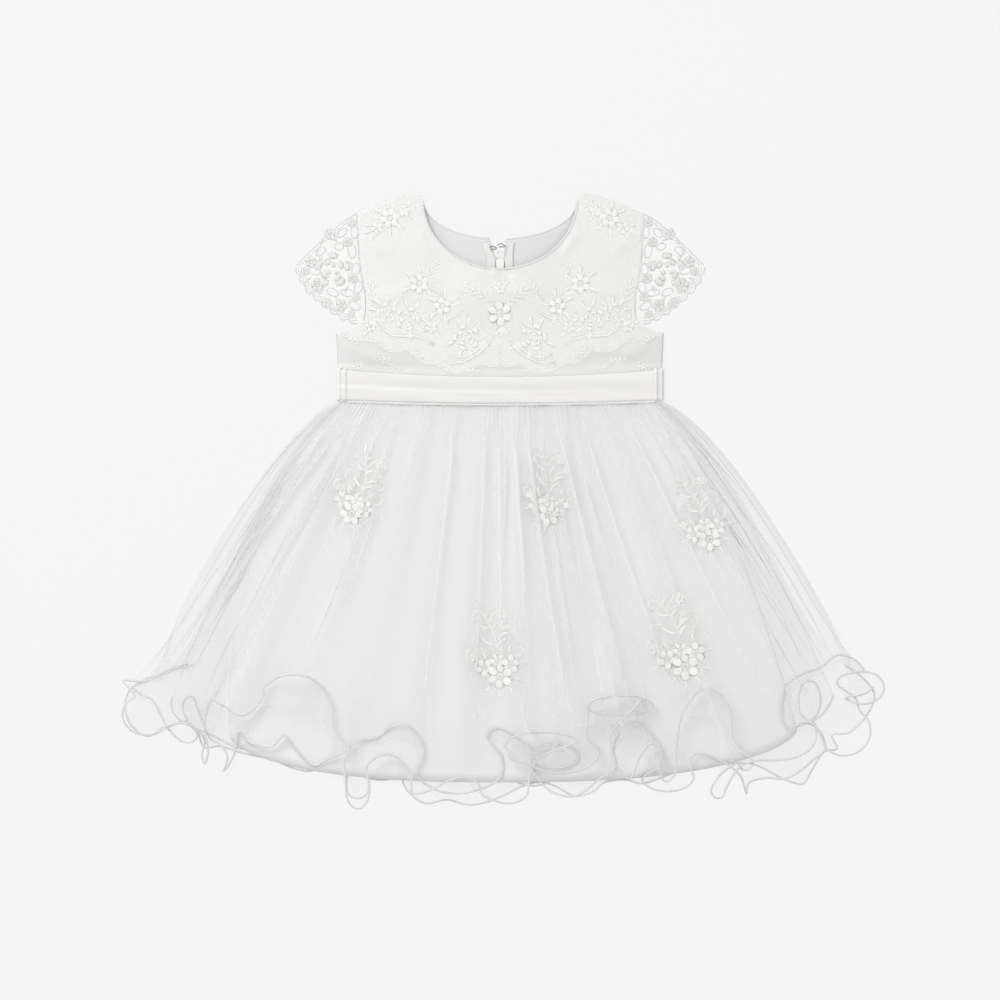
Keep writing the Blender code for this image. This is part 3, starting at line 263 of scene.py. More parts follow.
# The lace's scalloped lower edge, right half: where two scallops meet, and their drops.
LACE_EDGE = [(0.0, 108.0), (14.0, 108.5), (52.0, 108.0), (74.0, 119.5), (101.0, 126.5), (128.0, 131.5)]
LACE_DROPS = [2.5, 7.0, 4.0, 5.0, 1.5]


# Numbers and curves


def smoothstep(low, high, x):
    """0 below low, 1 above high, and an S between them."""
    t = np.clip((np.asarray(x, float) - low) / (high - low), 0, 1)
    return t * t * (3 - 2 * t)


def bezier(p0, p1, p2, p3, t):
    """A cubic Bezier curve's value at t."""
    return (1 - t) ** 3 * p0 + 3 * (1 - t) ** 2 * t * p1 + 3 * (1 - t) * t**2 * p2 + t**3 * p3


def resampled(line, count):
    """The same line with its points at even steps along it."""
    step = np.linalg.norm(np.diff(line, axis=0), axis=1)
    along = np.append(0, np.cumsum(step))
    at = np.linspace(0, along[-1], count)
    return np.column_stack([np.interp(at, along, line[:, k]) for k in range(line.shape[1])])


def smooth_path(points, count, closed=False):
    """A smooth curve through the given points (Catmull-Rom), with its points at even steps."""
    p = np.array(points, float)
    ends = (p[-1:], p[:2]) if closed else (2 * p[:1] - p[1:2], 2 * p[-1:] - p[-2:-1])
    p = np.vstack([ends[0], p, ends[1]])
    a, b, c, d = (p[k : len(p) - 3 + k, None] for k in range(4))
    t = (np.arange(12) / 12)[None, :, None]
    curve = 0.5 * (2 * b + (c - a) * t + (2 * a - 5 * b + 4 * c - d) * t**2 + (3 * b - a - 3 * c + d) * t**3)
    line = np.vstack([curve.reshape(-1, p.shape[1]), c[-1]])
    return resampled(line, count + 1)[:-1] if closed else resampled(line, count)


def turned(x, y, degrees):
    """The vector (x, y) turned anticlockwise."""
    a = math.radians(degrees)
    return x * math.cos(a) - y * math.sin(a), x * math.sin(a) + y * math.cos(a)


# Meshes


def grid_faces(rows, columns):
    """Quads of a grid, which face up where its rows run down and its columns run to the right."""
    at = np.arange(rows * columns).reshape(rows, columns)
    return np.stack([at[:-1, :-1], at[1:, :-1], at[1:, 1:], at[:-1, 1:]], axis=-1).reshape(-1, 4)


def add_mesh(name, points, faces, finish, uv=None, marks=None):
    """One object from points in millimetres and arrays of faces, a block for each number of corners.

    marks gives more values at each point by name, for the finish.
    """
    mesh = bpy.data.meshes.new(name)
    points = np.asarray(points, float).reshape(-1, 3) * MM
    mesh.vertices.add(len(points))
    mesh.vertices.foreach_set("co", points.ravel())
    corners = np.concatenate([block.ravel() for block in faces])
    sizes = np.concatenate([np.full(len(block), block.shape[1]) for block in faces])
    mesh.loops.add(len(corners))
    mesh.loops.foreach_set("vertex_index", corners)
    mesh.polygons.add(len(sizes))
    mesh.polygons.foreach_set("loop_start", np.cumsum(sizes) - sizes)
    mesh.polygons.foreach_set("use_smooth", np.ones(len(sizes), bool))
    if uv is not None:
        layer = mesh.uv_layers.new(name="UVMap")
        layer.data.foreach_set("uv", (np.asarray(uv, float).reshape(-1, 2) * MM)[corners].ravel())
    for mark, values in (marks or {}).items():
        layer = mesh.attributes.new(mark, "FLOAT", "POINT")
        layer.data.foreach_set("value", np.asarray(values, float).ravel())
    mesh.update(calc_edges=True)
    mesh.validate()
    mesh.materials.append(finish)
    made = bpy.data.objects.new(name, mesh)
    bpy.context.scene.collection.objects.link(made)
    return made


def add_piece(name, points, faces, finish, replaces=(), uv=None, wall=0.0, marks=None):
    """A piece that rides with the dress. A wall above 0 gives it that thickness, away from its face."""
    made = add_mesh(name, points, faces, finish, uv, marks)
    if wall:
        solid = made.modifiers.new("wall", "SOLIDIFY")
        solid.thickness = wall * MM
        solid.offset = -1.0
    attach(made, "dress")
    if replaces:
        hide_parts(*replaces)
    return made


def add_sheet(name, sheet, finish, replaces=(), uv=None, wall=0.0, keep=None, marks=None):
    """A cloth piece from a grid of points whose rows run down; keep drops faces, as for holes."""
    rows, columns = sheet.shape[:2]
    faces = grid_faces(rows, columns)
    if keep is not None:
        faces = faces[keep(sheet.reshape(-1, 3)[faces].mean(axis=1))]
    if uv is None:
        uv = sheet[..., :2]
    return add_piece(name, sheet, [faces], finish, replaces, uv, wall, marks)


def tubes(paths, radius, sides=6, flat=1.0, closed=False):
    """Round or flattened tubes along paths (number, points, 3).

    A ring stands across each path at each point: its radius times the cosine of an angle to the
    side, and flat times its sine upwards. Ends are capped, or joined where the path is closed.
    """
    paths = np.asarray(paths, float)
    number, steps = paths.shape[:2]
    radius = np.broadcast_to(np.asarray(radius, float), (number, steps))
    flat = np.broadcast_to(flat, number)[:, None, None, None]
    if closed:
        run = np.roll(paths, -1, axis=1) - np.roll(paths, 1, axis=1)
    else:
        run = np.gradient(paths, axis=1)
    run /= np.maximum(np.linalg.norm(run, axis=2, keepdims=True), 1e-9)
    side = np.stack([-run[..., 1], run[..., 0], np.zeros((number, steps))], axis=-1)
    side /= np.maximum(np.linalg.norm(side, axis=2, keepdims=True), 1e-9)
    up = np.cross(run, side)
    angle = np.arange(sides) / sides * 2 * math.pi
    ring = np.cos(angle)[:, None] * side[:, :, None] + flat * np.sin(angle)[:, None] * up[:, :, None]
    points = paths[:, :, None] + radius[:, :, None, None] * ring
    at = np.arange(number * steps * sides).reshape(number, steps, sides)
    ahead = np.roll(at, -1, axis=1) if closed else at[:, 1:]
    here = at if closed else at[:, :-1]
    quads = np.stack([here, np.roll(here, -1, 2), np.roll(ahead, -1, 2), ahead], axis=-1).reshape(-1, 4)
    faces = [quads] if closed else [quads, at[:, 0, ::-1], at[:, -1]]
    length = np.linalg.norm(np.diff(paths, axis=1, prepend=paths[:, :1]), axis=2).cumsum(axis=1)
    around = np.broadcast_to(np.arange(sides) * 1.0, (number, steps, sides))
    uv = np.stack([np.broadcast_to(length[:, :, None], around.shape), around], axis=-1)
    return points.reshape(-1, 3), faces, uv.reshape(-1, 2)


def joined(parts):
    """Several (points, faces, uv) as one."""
    points, blocks, uvs, first = [], [], [], 0
    for p, faces, uv in parts:
        points.append(p)
        blocks += [block + first for block in faces]
        uvs.append(uv)
        first += len(p)
    return np.vstack(points), blocks, np.vstack(uvs)


# Embroidery


class Stitches:
    """Embroidery drawn flat: padded shapes and cords, laid on a surface when it is built."""

    def __init__(self):
        self.pads = []
        self.cords = []
        self.loops = []

    def pad(self, points, half_width, height=0.8, blunt=0.5):
        """A padded satin-stitch shape along a curve, widest in its middle and narrow at both ends."""
        self.pads.append((smooth_path(points, 8), half_width, height, blunt))

    def cord(self, points, radius=0.45, steps=24, closed=False):
        """A corded line along a curve."""
        path = smooth_path(points, steps, closed)
        (self.loops if closed else self.cords).append((path, radius))

    def flower(self, x, y, radius, petals=5, turn=0.0):
        """Round petals, each with a corded edge, about a ringed centre."""
        for k in range(petals):
            a = turn + 360.0 * k / petals
            inner = turned(0.30 * radius, 0, a)
            outer = turned(0.98 * radius, 0, a)
            middle = turned(0.64 * radius, 0.05 * radius, a)
            half = radius * math.sin(math.pi / petals) * 0.78
            self.pad([(x + p[0], y + p[1]) for p in (inner, middle, outer)], half, 0.38, 0.42)
            edge = [turned(r * radius, w * radius * math.sin(math.pi / petals), a) for r, w in PETAL_EDGE]
            self.cord([(x + p[0], y + p[1]) for p in edge], 0.28, 14)
        self.cord([(x + 0.2 * radius * c, y + 0.2 * radius * s) for c, s in CIRCLE], 0.5, 10, closed=True)

    def rose(self, x, y, radius, turn=0.0):
        """Rings of crescent petals that overlap, closing on a spiral centre."""
        for ring, (far, count, wide) in enumerate([(0.86, 5, 0.20), (0.55, 4, 0.17), (0.26, 3, 0.12)]):
            for k in range(count):
                a = turn + 37 * ring + 360.0 * k / count
                span = 200.0 / count
                arc = [turned(far * radius * f, 0, a + d * span) for d, f in CRESCENT]
                self.pad([(x + p[0], y + p[1]) for p in arc], wide * radius, 0.42 + 0.1 * ring, 0.6)
                arc = [turned(far * radius * f + 0.19 * radius, 0, a + d * span) for d, f in CRESCENT]
                self.cord([(x + p[0], y + p[1]) for p in arc], 0.38, 12)

    def leaf(self, x, y, length, degrees, bend=0.15, half=None):
        """A pointed leaf with a corded edge on one side."""
        spine = [
            turned(t * length, bend * length * math.sin(math.pi * t), degrees) for t in (0, 0.35, 0.7, 1)
        ]
        half = 0.17 * length if half is None else half
        self.pad([(x + p[0], y + p[1]) for p in spine], half, 0.36, 0.75)
        edge = [
            turned(t * length, bend * length * math.sin(math.pi * t) + half * math.sin(math.pi * t), degrees)
            for t in (0, 0.3, 0.65, 1.02)
        ]
        self.cord([(x + p[0], y + p[1]) for p in edge], 0.28, 10)

    def scroll(self, points, half=1.0):
        """A tapering padded scroll between two fine cords."""
        line = smooth_path(points, 14)
        run = np.gradient(line, axis=0)
        out = np.column_stack([-run[:, 1], run[:, 0]]) / np.linalg.norm(run, axis=1)[:, None]
        self.pad(points, half, 0.45, 0.35)
        for side in (-1, 1):
            self.cord(line + side * (half + 0.3) * out, 0.26, 16)

    def sprig(self, x, y, length, degrees):
        """A fine stem with three pairs of small leaves and one at its tip."""
        for at, turn in ((0.2, 48), (0.2, -48), (0.5, 42), (0.5, -42), (0.78, 36), (0.78, -36), (1.0, 0)):
            a, b = turned(at * length, 0, degrees)
            self.leaf(x + a, y + b, 0.34 * length, degrees + turn)
        tip = turned(length, 0, degrees)
        bow = turned(0.5 * length, 0.06 * length, degrees)
        self.cord([(x, y), (x + bow[0], y + bow[1]), (x + tip[0], y + tip[1])], 0.4, 10)

    def mirrored(self):
        """Adds the same stitches on the other side of the middle line."""
        flip = np.array([-1.0, 1.0])
        self.pads += [(p * flip, *rest) for p, *rest in self.pads]
        self.cords += [(p * flip, r) for p, r in self.cords]
        self.loops += [(p * flip, r) for p, r in self.loops]
        return self

    def built(self, surface, strength=1.0):
        """The stitches' meshes on the surface z(x, y), as (points, faces, uv)."""

        def laid(path, lift):
            return np.column_stack([path, surface(path[:, 0], path[:, 1]) + lift])

        parts = []
        if self.pads:
            t = np.linspace(0, 1, 8)
            profile = np.maximum(np.sin(math.pi * np.clip(t, 0.01, 0.99)), 0.02)
            paths = np.array([laid(p, 0.15) for p, *_ in self.pads])
            radius = np.array([half * profile**blunt for _, half, _, blunt in self.pads])
            flat = strength * np.array(
                [min(height / max(half, 0.3), 0.6) for _, half, height, _ in self.pads]
            )
            parts.append(tubes(paths, radius, 6, flat))
        for group, closed in ((self.cords, False), (self.loops, True)):
            for steps in sorted({len(path) for path, _ in group}):
                chosen = [(path, r) for path, r in group if len(path) == steps]
                paths = np.array([laid(path, 0.30 * strength) for path, _ in chosen])
                radius = np.array([[r] * steps for _, r in chosen])
                parts.append(tubes(paths, radius, 5, 0.7, closed))
        return joined(parts)


CIRCLE = [(math.cos(a), math.sin(a)) for a in np.arange(8) / 8 * 2 * math.pi]
# A petal's edge: how far out, and how far to the side (share of its half width).
PETAL_EDGE = [
    (0.28, 0.12), (0.62, 0.80), (0.92, 0.55), (1.06, 0.0), (0.92, -0.55), (0.62, -0.80), (0.28, -0.12),
]
# A crescent: share of its span, and how far out.
CRESCENT = [(-0.5, 0.90), (-0.25, 0.98), (0.0, 1.0), (0.25, 0.98), (0.5, 0.90)]


# The bodice's surfaces


def waist_y(x):
    """The waist seam: a parabola, lowest at the middle."""
    return WAIST_MIDDLE_Y + (WAIST_SIDE_Y - WAIST_MIDDLE_Y) * (np.asarray(x, float) / HALF_WAIST) ** 2


def sash_top_y(x):
    """The sash's upper edge: a parabola, lowest at the middle."""
    return SASH_MIDDLE_TOP + (SASH_SIDE_TOP - SASH_MIDDLE_TOP) * (np.asarray(x, float) / HALF_WAIST) ** 2


def back_low(x, y):
    """The underside of the back: flat, but raised over the sash and by the open end of the zip."""
    over_sash = (SASH_WALL + SEAM) * (1 - smoothstep(0.6, 6.0, np.asarray(y) - sash_top_y(x)))
    across = 1 - smoothstep(RIDGE_HALF, RIDGE_REACH, np.abs(x))
    return np.maximum(over_sash, ZIP_RIDGE * across * smoothstep(*RIDGE_Y, y))


def front_top(x, y):
    """The front's outer face, which is crowned: it falls as the sixth power of x at the sides."""
    crown = CROWN * (1 - np.clip(np.abs(x) / CROWN_HALF, 0, 1) ** 6)
    return back_low(x, y) + 2 * CLOTH + SEAM + crown


def creased(x, y, table):
    """Soft ridges and troughs added up: each is a bell across its bowed line and fades at both ends."""
    total = np.zeros(np.shape(x))
    for x0, y0, x1, y1, half, height in table:
        length = math.hypot(x1 - x0, y1 - y0)
        along = ((x - x0) * (x1 - x0) + (y - y0) * (y1 - y0)) / length**2
        across = ((x - x0) * (y1 - y0) - (y - y0) * (x1 - x0)) / length
        bow = 0.08 * length * np.sin(math.pi * np.clip(along, 0, 1))
        total += height * np.exp(-(((across - bow) / half) ** 2)) * np.exp(-(((along - 0.5) / 0.42) ** 4))
    return total


def front_surface(x, y):
    """The satin front with its creases."""
    return front_top(x, y) + creased(x, y, BODICE_CREASES)


def bodice_rim(depth, t):
    """The right half's upper edge at t, from the neckline's middle (0) to the underarm corner (1)."""
    angle = np.linspace(math.pi / 2, 0, 30)
    neck = np.column_stack([NECK_HALF * np.cos(angle), NECK_TOP_Y - depth * np.sin(angle)])
    spans = [
        neck,
        np.array([neck[-1], SHOULDER[0]]),
        smooth_path(SHOULDER, 14),
        smooth_path(ARMHOLE, 30),
        smooth_path(UNDERARM, 10),
    ]
    at = np.concatenate([np.linspace(a, b, len(p)) for p, a, b in zip(spans, RIM_STOPS, RIM_STOPS[1:])])
    line = np.vstack(spans)
    return np.column_stack([np.interp(t, at, line[:, 0]), np.interp(t, at, line[:, 1])])


def ruled_half(depth, foot, columns, rows):
    """A grid of straight lines from the rim to foot(x), a function of where each line ends below."""
    t = np.linspace(0, 1, columns)
    top = bodice_rim(depth, t)
    foot_x = np.interp(t, FOOT_STOPS, RIM_FEET)
    low = np.column_stack([foot_x, foot(foot_x)])
    return top + (low - top) * np.linspace(0, 1, rows)[:, None, None]


def both_halves(half):
    """A half grid and its mirror image as one, left to right."""
    return np.concatenate([(half * (-1, 1))[:, :0:-1], half], axis=1)


def with_height(flat, surface):
    """A flat grid (rows, columns, 2) with z from surface(x, y)."""
    return np.dstack([flat, surface(flat[..., 0], flat[..., 1])])


def zip_edge(side, y):
    """How far a back panel's edge stands from the middle: a slit at the slider, then open to the neck."""
    slit = np.where(np.abs(y - SLIDER_Y) < SLIDER_HALF_LENGTH, 1.0, 0.2)
    spread = 0.36 if side < 0 else 0.10
    return np.where(
        y > SLIDER_Y + SLIDER_HALF_LENGTH, 2.8 + spread * (y - SLIDER_Y - SLIDER_HALF_LENGTH), slit
    )


def lace_edge_y(x):
    """The lace's lower edge: straight runs between its points, each hanging by a half sine."""
    ends = np.array(LACE_EDGE)
    x = np.abs(x)
    at = np.interp(x, ends[:, 0], np.arange(len(ends)))
    drop = np.array(LACE_DROPS + [0.0])[np.floor(at).astype(int)]
    return np.interp(x, ends[:, 0], ends[:, 1]) - drop * np.sin(math.pi * (at % 1))


def lace_surface(x, y):
    """The lace, close on the satin."""
    return front_surface(x, y) + SEAM + 0.25


def sash_point(x, w):
    """The sash's outer face at x and at w, from its lower edge (0) to its upper one (1)."""
    y = waist_y(x) + 0.4 + (sash_top_y(x) - waist_y(x) - 0.4) * w
    fold = SASH_FOLD * np.abs(np.sin(math.pi * (1.6 * w + 0.25 + 0.10 * x / SASH_HALF)))
    slub = 0.25 * np.sin(9 * w + 0.05 * x) * np.sin(0.031 * x + 2 * w) + 0.5 * np.exp(
        -(((w - 0.42) / 0.1) ** 2)
    )
    roll = 1.2 * (1 - smoothstep(0.0, 0.07, w)) ** 2 + 1.2 * smoothstep(0.94, 1.0, w) ** 2
    flat_z = float(front_top(0.0, waist_y(0.0) + 10.0)) + SEAM + SASH_WALL + fold + slub - roll
    end = 1 - np.sqrt(1 - np.clip((np.abs(x) - (SASH_HALF - SASH_END_DROP)) / SASH_END_DROP, 0, 1) ** 2)
    return np.stack([x, y, flat_z + (SASH_WALL + SEAM + SASH_WALL - flat_z) * end * 0.9], axis=-1)


# The sleeves' surfaces


def sleeve_edge():
    """The right sleeve's outer edge: its fold on top, then its hem with scallops of half sines."""
    fold = smooth_path(SLEEVE_TOP, 60)
    hem = smooth_path(SLEEVE_HEM, 30 * SCALLOPS + 1)
    run = np.gradient(hem, axis=0)
    out = np.column_stack([run[:, 1], -run[:, 0]]) / np.linalg.norm(run, axis=1)[:, None]
    wave = np.abs(np.sin(math.pi * SCALLOPS * np.linspace(0, 1, len(hem))))
    return fold, hem - SCALLOP_DEPTH * wave[:, None] * out


def sleeve_grid(rows=130, columns=58):
    """The right sleeve between its armhole seam and its outer edge, rows running down the seam."""
    fold, hem = sleeve_edge()
    seam = resampled(smooth_path(ARMHOLE, 60) + (0.5, 0.0), rows)
    top = rows * 9 // 20
    edge = np.vstack([resampled(fold, top), resampled(hem, rows - top + 1)[1:]])
    w = np.linspace(0, 1, columns)[None, :, None]
    return seam[:, None] + (edge - seam)[:, None] * w


def sleeve_surface(x, y):
    """The sleeve's front layer, a little higher by the armhole."""
    return 2.1 + 1.6 * smoothstep(150, 112, np.abs(x)) + 0 * y


def clear_of_gaps(points, side):
    """Which points are outside the lace's openings."""
    keep = np.ones(len(points), bool)
    for x, y, half_length, half_width, degrees in SLEEVE_GAPS:
        along, across = turned(points[:, 0] * side - x, points[:, 1] - y, -degrees)
        keep &= (along / half_length) ** 2 + (across / half_width) ** 2 > 1
    return keep


# The skirt's surfaces


class Layer:
    """One layer of the skirt, over (s, v): s runs along the hem from the left, v from the waist down.

    Each line from waist to hem is a Bezier curve at a share u of the way across, from -1 to 1.
    """

    def __init__(self, sizes):
        self.sizes = sizes
        self.u = np.linspace(-1, 1, 801)
        x, y = self.flat(self.u, np.ones(801))
        step = np.hypot(np.diff(x), np.diff(y))
        self.share = np.append(0, np.cumsum(step)) / step.sum()

    def flat(self, u, v):
        """Where (u, v) lies seen from above."""
        u, v = np.broadcast_arrays(np.asarray(u, float), np.asarray(v, float))
        weight = 1 - (1 - np.clip(np.abs(u), 0, 1) ** HEM_ROUND) ** HEM_FLATNESS
        x, side_y = np.zeros_like(u), np.zeros_like(u)
        for side, chosen in (("left", u < 0), ("right", u >= 0)):
            (x1, y1), (x2, y2), (x3, y3) = self.sizes[side]
            x = np.where(chosen, bezier(self.sizes["half"], x1, x2, x3, v), x)
            side_y = np.where(chosen, bezier(WAIST_SIDE_Y, y1, y2, y3, v), side_y)
        middle_y = WAIST_MIDDLE_Y + (self.sizes["middle"] - WAIST_MIDDLE_Y) * v
        y = (1 - weight) * middle_y + weight * side_y
        seam = waist_y(self.sizes["half"] * u) - (WAIST_MIDDLE_Y + (WAIST_SIDE_Y - WAIST_MIDDLE_Y) * weight)
        return u * x, y + (seam - SEAM) * (1 - v) ** 2

    def placed(self, x, y):
        """(u, v) of the place that lies at (x, y), by repeated correction."""
        v = (WAIST_MIDDLE_Y - y) / (WAIST_MIDDLE_Y - self.sizes["middle"])
        u = x / 200.0
        for _ in range(40):
            u, v = np.clip(u, -1.2, 1.2), np.clip(v, 0.01, 1.06)
            at_x, at_y = self.flat(u, v)
            near = np.abs(u) < 1e-3
            side_x = np.where(near, 150.0 + 130.0 * v, at_x / np.where(near, 1, u))
            u = u + 0.8 * (x - at_x) / side_x
            v = v + 0.8 * (at_y - y) / (WAIST_MIDDLE_Y - self.sizes["middle"])
        return u, v

    def found(self, x, y):
        """(s, v) of the place that lies at (x, y)."""
        u, v = self.placed(x, y)
        return np.interp(u, self.u, self.share), v


def rise_of(v):
    """How a fold grows from the waist to the hem."""
    return smoothstep(0.0, 0.2, v) * (0.14 + 0.86 * np.asarray(v) ** 2.6)


def inner_base(v):
    """The inner tulle's lowest line, which clears the lining's folds."""
    return 3 * (CLOTH + SEAM) + 1.5 * CLOTH + SEAM + LINING_FOLD * smoothstep(0.05, 0.25, v)


def outer_base(v):
    """The outer tulle's lowest line, which clears the inner tulle's crests and gathers."""
    gather = GATHER_HEIGHT * (1 - smoothstep(0.03, 0.30, v))
    return inner_base(v) + CLOTH + 0.5 + gather + INNER_LIFT * rise_of(v)


def tulle_height(table, base, edge_z, u, s, v):
    """A front layer's height: its base, domed down to edge_z at the sides, and flutes of one minus cosine."""
    width = np.array(table)[:, 0]
    ends = np.append(0, np.cumsum(width / width.sum()))
    lift = np.interp(s, (ends[:-1] + ends[1:]) / 2, np.array(table)[:, 1])
    crest = (1 - np.cos(2 * math.pi * np.interp(s, ends, np.arange(len(ends))))) / 2
    dome = (1 - np.minimum(np.abs(u), 1) ** (70 - 50 * v)) ** 0.5
    return edge_z + (base(v) - edge_z) * dome + lift * rise_of(v) * crest


def folded(s, v, rows, length):
    """Shares s and heights with folds: about each fold's line the net turns back under itself.

    With t the distance from the line in fold widths, s moves by minus 2.1 widths times t exp(-t^2),
    which runs backwards near the line, and the net stands up by a bell there.
    """
    moved, height = s.copy(), np.zeros_like(s)
    for s0, s1, v0, v1, overlap, up in rows:
        wide = overlap / 2 / length
        t = (s - (s0 + (s1 - s0) * v)) / wide
        here = smoothstep(v0, v0 + 0.14, v) * (1 - smoothstep(v1 - 0.2, v1, v))
        bell = np.exp(-(t**2)) * here
        moved -= 2.1 * wide * t * bell
        height += up * np.exp(-((t + 0.7) ** 2)) * here
    return np.clip(moved, 0, 1), height


def fine_folds(count, seed, overlap, crowded=0.35):
    """Rows of slight folds like OUTER_FOLDS, at seeded places, with more of them near both sides."""
    rng = np.random.default_rng(seed)
    s = rng.uniform(0.02, 0.98, count)
    s = np.where(rng.random(count) < crowded, np.where(s < 0.5, 0.22 * s, 1 - 0.22 * (1 - s)), s)
    lean = rng.normal(0, 0.022, count) + 0.10 * (s - 0.5)
    start = rng.uniform(0.0, 0.25, count)
    end = np.minimum(start + rng.uniform(0.3, 0.75, count), 0.96)
    wide = overlap * rng.uniform(0.5, 1.3, count)
    return list(zip(s - lean / 2, s + lean / 2, start, end, wide, 0.35 * wide))


def cord_line(table, step=1.5):
    """A smooth route through a table's points and curls, which are arcs of an ellipse."""
    points = []
    for row in table:
        if len(row) == 2:
            points.append(row)
        else:
            x, y, wide, high, start, sweep = row
            a = np.radians(start + sweep * np.linspace(0, 1, max(4, round(abs(sweep) / 26))))
            points += list(zip(x + wide * np.cos(a), y + high * np.sin(a)))
    rough = np.array(points, float)
    length = np.linalg.norm(np.diff(rough, axis=0), axis=1).sum()
    return smooth_path(rough, int(length / step))


def parted(path, gap, top, reach=12):
    """The path raised where it crosses an earlier stretch of itself, by a bell along it."""
    order = np.arange(len(path))
    away = np.hypot(path[:, None, 0] - path[:, 0], path[:, None, 1] - path[:, 1])
    over = (away < gap) & (order[:, None] - order > reach)
    bell = np.exp(-(((order[:, None] - order) / 6.0) ** 2))
    path = path.copy()
    for _ in range(3):
        needed = np.where(over, path[:, 2] + gap, -1.0).max(axis=1)
        path[:, 2] += (bell * np.maximum(needed - path[:, 2], 0)).max(axis=1)
    path[:, 2] = np.minimum(path[:, 2], top)
    return path


class Hem:
    """A layer's cord route, and how the net's columns are shared out along it."""

    def __init__(self, layer, table, height, gap=1.7, top=32.0):
        line = cord_line(table)
        tau = np.linspace(0, 1, len(line))
        hem = np.column_stack(layer.flat(layer.u, np.ones(801)))
        near = np.hypot(line[:, None, 0] - hem[:, 0], line[:, None, 1] - hem[:, 1]).argmin(axis=1)
        share = np.maximum.accumulate(layer.share[near])
        share = (share - share[0]) / (share[-1] - share[0])
        smooth = np.hanning(61) / np.hanning(61).sum()
        share = np.convolve(np.pad(share, 30, mode="edge"), smooth, "valid")
        self.share = 0.65 * share + 0.35 * tau
        self.tau = tau
        self.path = parted(np.column_stack([line, height(self.share)]), gap, top)

    def columns(self, count):
        """Shares of the hem and points of the cord for each column, spread by both alike."""
        both = (self.share + self.tau) / 2
        at = np.linspace(0, 1, count)
        tau = np.interp(at, both, self.tau)
        points = np.column_stack([np.interp(tau, self.tau, self.path[:, k]) for k in range(3)])
        return np.interp(at, both, self.share), points


def net_rows(count):
    """Shares from the waist to the hem, closer together near both."""
    t = np.linspace(0, 1, count)
    return t - 0.10 * np.sin(2 * math.pi * t)


def hemmed_sheet(layer, hem, folds, height, columns, rows, turn_from):
    """A layer of net whose lower part bends from its plain spread to its curly cord.

    A point is (1 - e) Q + e C: Q on the layer's folded surface, C on the cord, and
    e = ((v - v0) / (1 - v0)) to the power 1.8. How close the net lies is its own width for each
    column over the column's width as spread: folds are dense at their edges, and curls are thin.
    A mark gives where the lining lies behind it: there the net's colour is painted lighter, and elsewhere it
    is painted grey shade.
    """
    s, cord = hem.columns(columns)
    s, v = np.meshgrid(s, net_rows(rows))
    length = 2 * layer.sizes["half"] + (NET_WIDTH - 2 * layer.sizes["half"]) * v
    moved, raised = folded(s, v, folds, length)
    u = np.interp(moved, layer.share, layer.u)
    x, y = layer.flat(u, v)
    z = height(u, moved, v) + raised
    e = np.clip((v - turn_from) / (1 - turn_from), 0, 1)[..., None] ** 1.8
    sheet = (1 - e) * np.stack([x, y, z], axis=-1) + e * cord
    uv = np.stack([s * NET_WIDTH, v * NET_LENGTH], axis=-1)
    step = np.hypot(*np.moveaxis(np.gradient(sheet[..., :2], axis=1), -1, 0))
    close = np.clip(NET_WIDTH / columns / np.maximum(step, 1e-4), 0.5, 3.4)
    for axis, taps in ((1, (1, 2, 3, 2, 1)), (0, (1, 2, 1))):
        reach = len(taps) // 2
        shifted = [np.roll(close, k - reach, axis) * tap for k, tap in enumerate(taps)]
        close = sum(shifted) / sum(taps)
    across, down = Layer(LINING).placed(sheet[..., 0], sheet[..., 1])
    # Where the lining lies behind the net, for painted light there and painted grey shade elsewhere.
    backed = (1 - smoothstep(0.985, 1.005, down)) * (1 - smoothstep(0.985, 1.015, np.abs(across)))
    return sheet, uv, {"close": close, "backed": backed}


def gathers(u, v, count, height):
    """The waist's gathers: uneven ripples across, which die away below the seam."""
    phase = count * (u + 0.010 * np.sin(9 * u + 1) + 0.006 * np.sin(23 * u))
    deep = 0.7 + 0.3 * np.sin(31 * u + 2)
    return height * deep * np.abs(np.sin(math.pi / 2 * phase)) * (1 - smoothstep(0.01, 0.11, v))


# Finishes


def linear(hex_colour):
    """Linear red, green and blue of an sRGB hex colour."""
    channels = [int(hex_colour[k : k + 2], 16) / 255 for k in (1, 3, 5)]
    return tuple(c / 12.92 if c <= 0.04045 else ((c + 0.055) / 1.055) ** 2.4 for c in channels)


# Kinds of node, and the values of a noise that has one cell to each unit of its coordinates.
NOISE, MATHS, SPAN = "ShaderNodeTexNoise", "ShaderNodeMath", "ShaderNodeMapRange"
MIX, BUMP, WAVE = "ShaderNodeMix", "ShaderNodeBump", "ShaderNodeTexWave"
GRAIN = {"Scale": 1.0, "Detail": 2.0, "Roughness": 0.5}
FINE_GRAIN = GRAIN | {"Detail": 3.0}


def add_node(tree, kind, inputs=None, **settings):
    """One node: its settings, and for each input either another node's output or a value.

    In a colour mix, socket 0 is the share, 6 and 7 are the colours, and output 2 is the result.
    """
    node = tree.nodes.new(kind)
    for name, value in settings.items():
        setattr(node, name, value)
    for name, value in (inputs or {}).items():
        socket = node.inputs[name]
        if isinstance(value, bpy.types.NodeSocket):
            tree.links.new(value, socket)
        else:
            socket.default_value = value
    return node


def new_finish(name, colour, roughness, **more):
    """A material with a Principled shader, and its node tree and shader."""
    made = bpy.data.materials.new(name)
    made.use_nodes = True
    shader = made.node_tree.nodes["Principled BSDF"]
    shader.inputs["Base Color"].default_value = (*colour, 1.0)
    shader.inputs["Roughness"].default_value = roughness
    for socket, value in more.items():
        shader.inputs[socket.replace("_", " ")].default_value = value
    return made, made.node_tree, shader


def scaled(tree, source, scale):
    """Coordinates from a source (UV or Object), stretched by scale: cells a metre in each direction."""
    coordinates = add_node(tree, "ShaderNodeTexCoord")
    mapping = add_node(tree, "ShaderNodeMapping", {"Vector": coordinates.outputs[source], "Scale": scale})
    return mapping.outputs["Vector"]


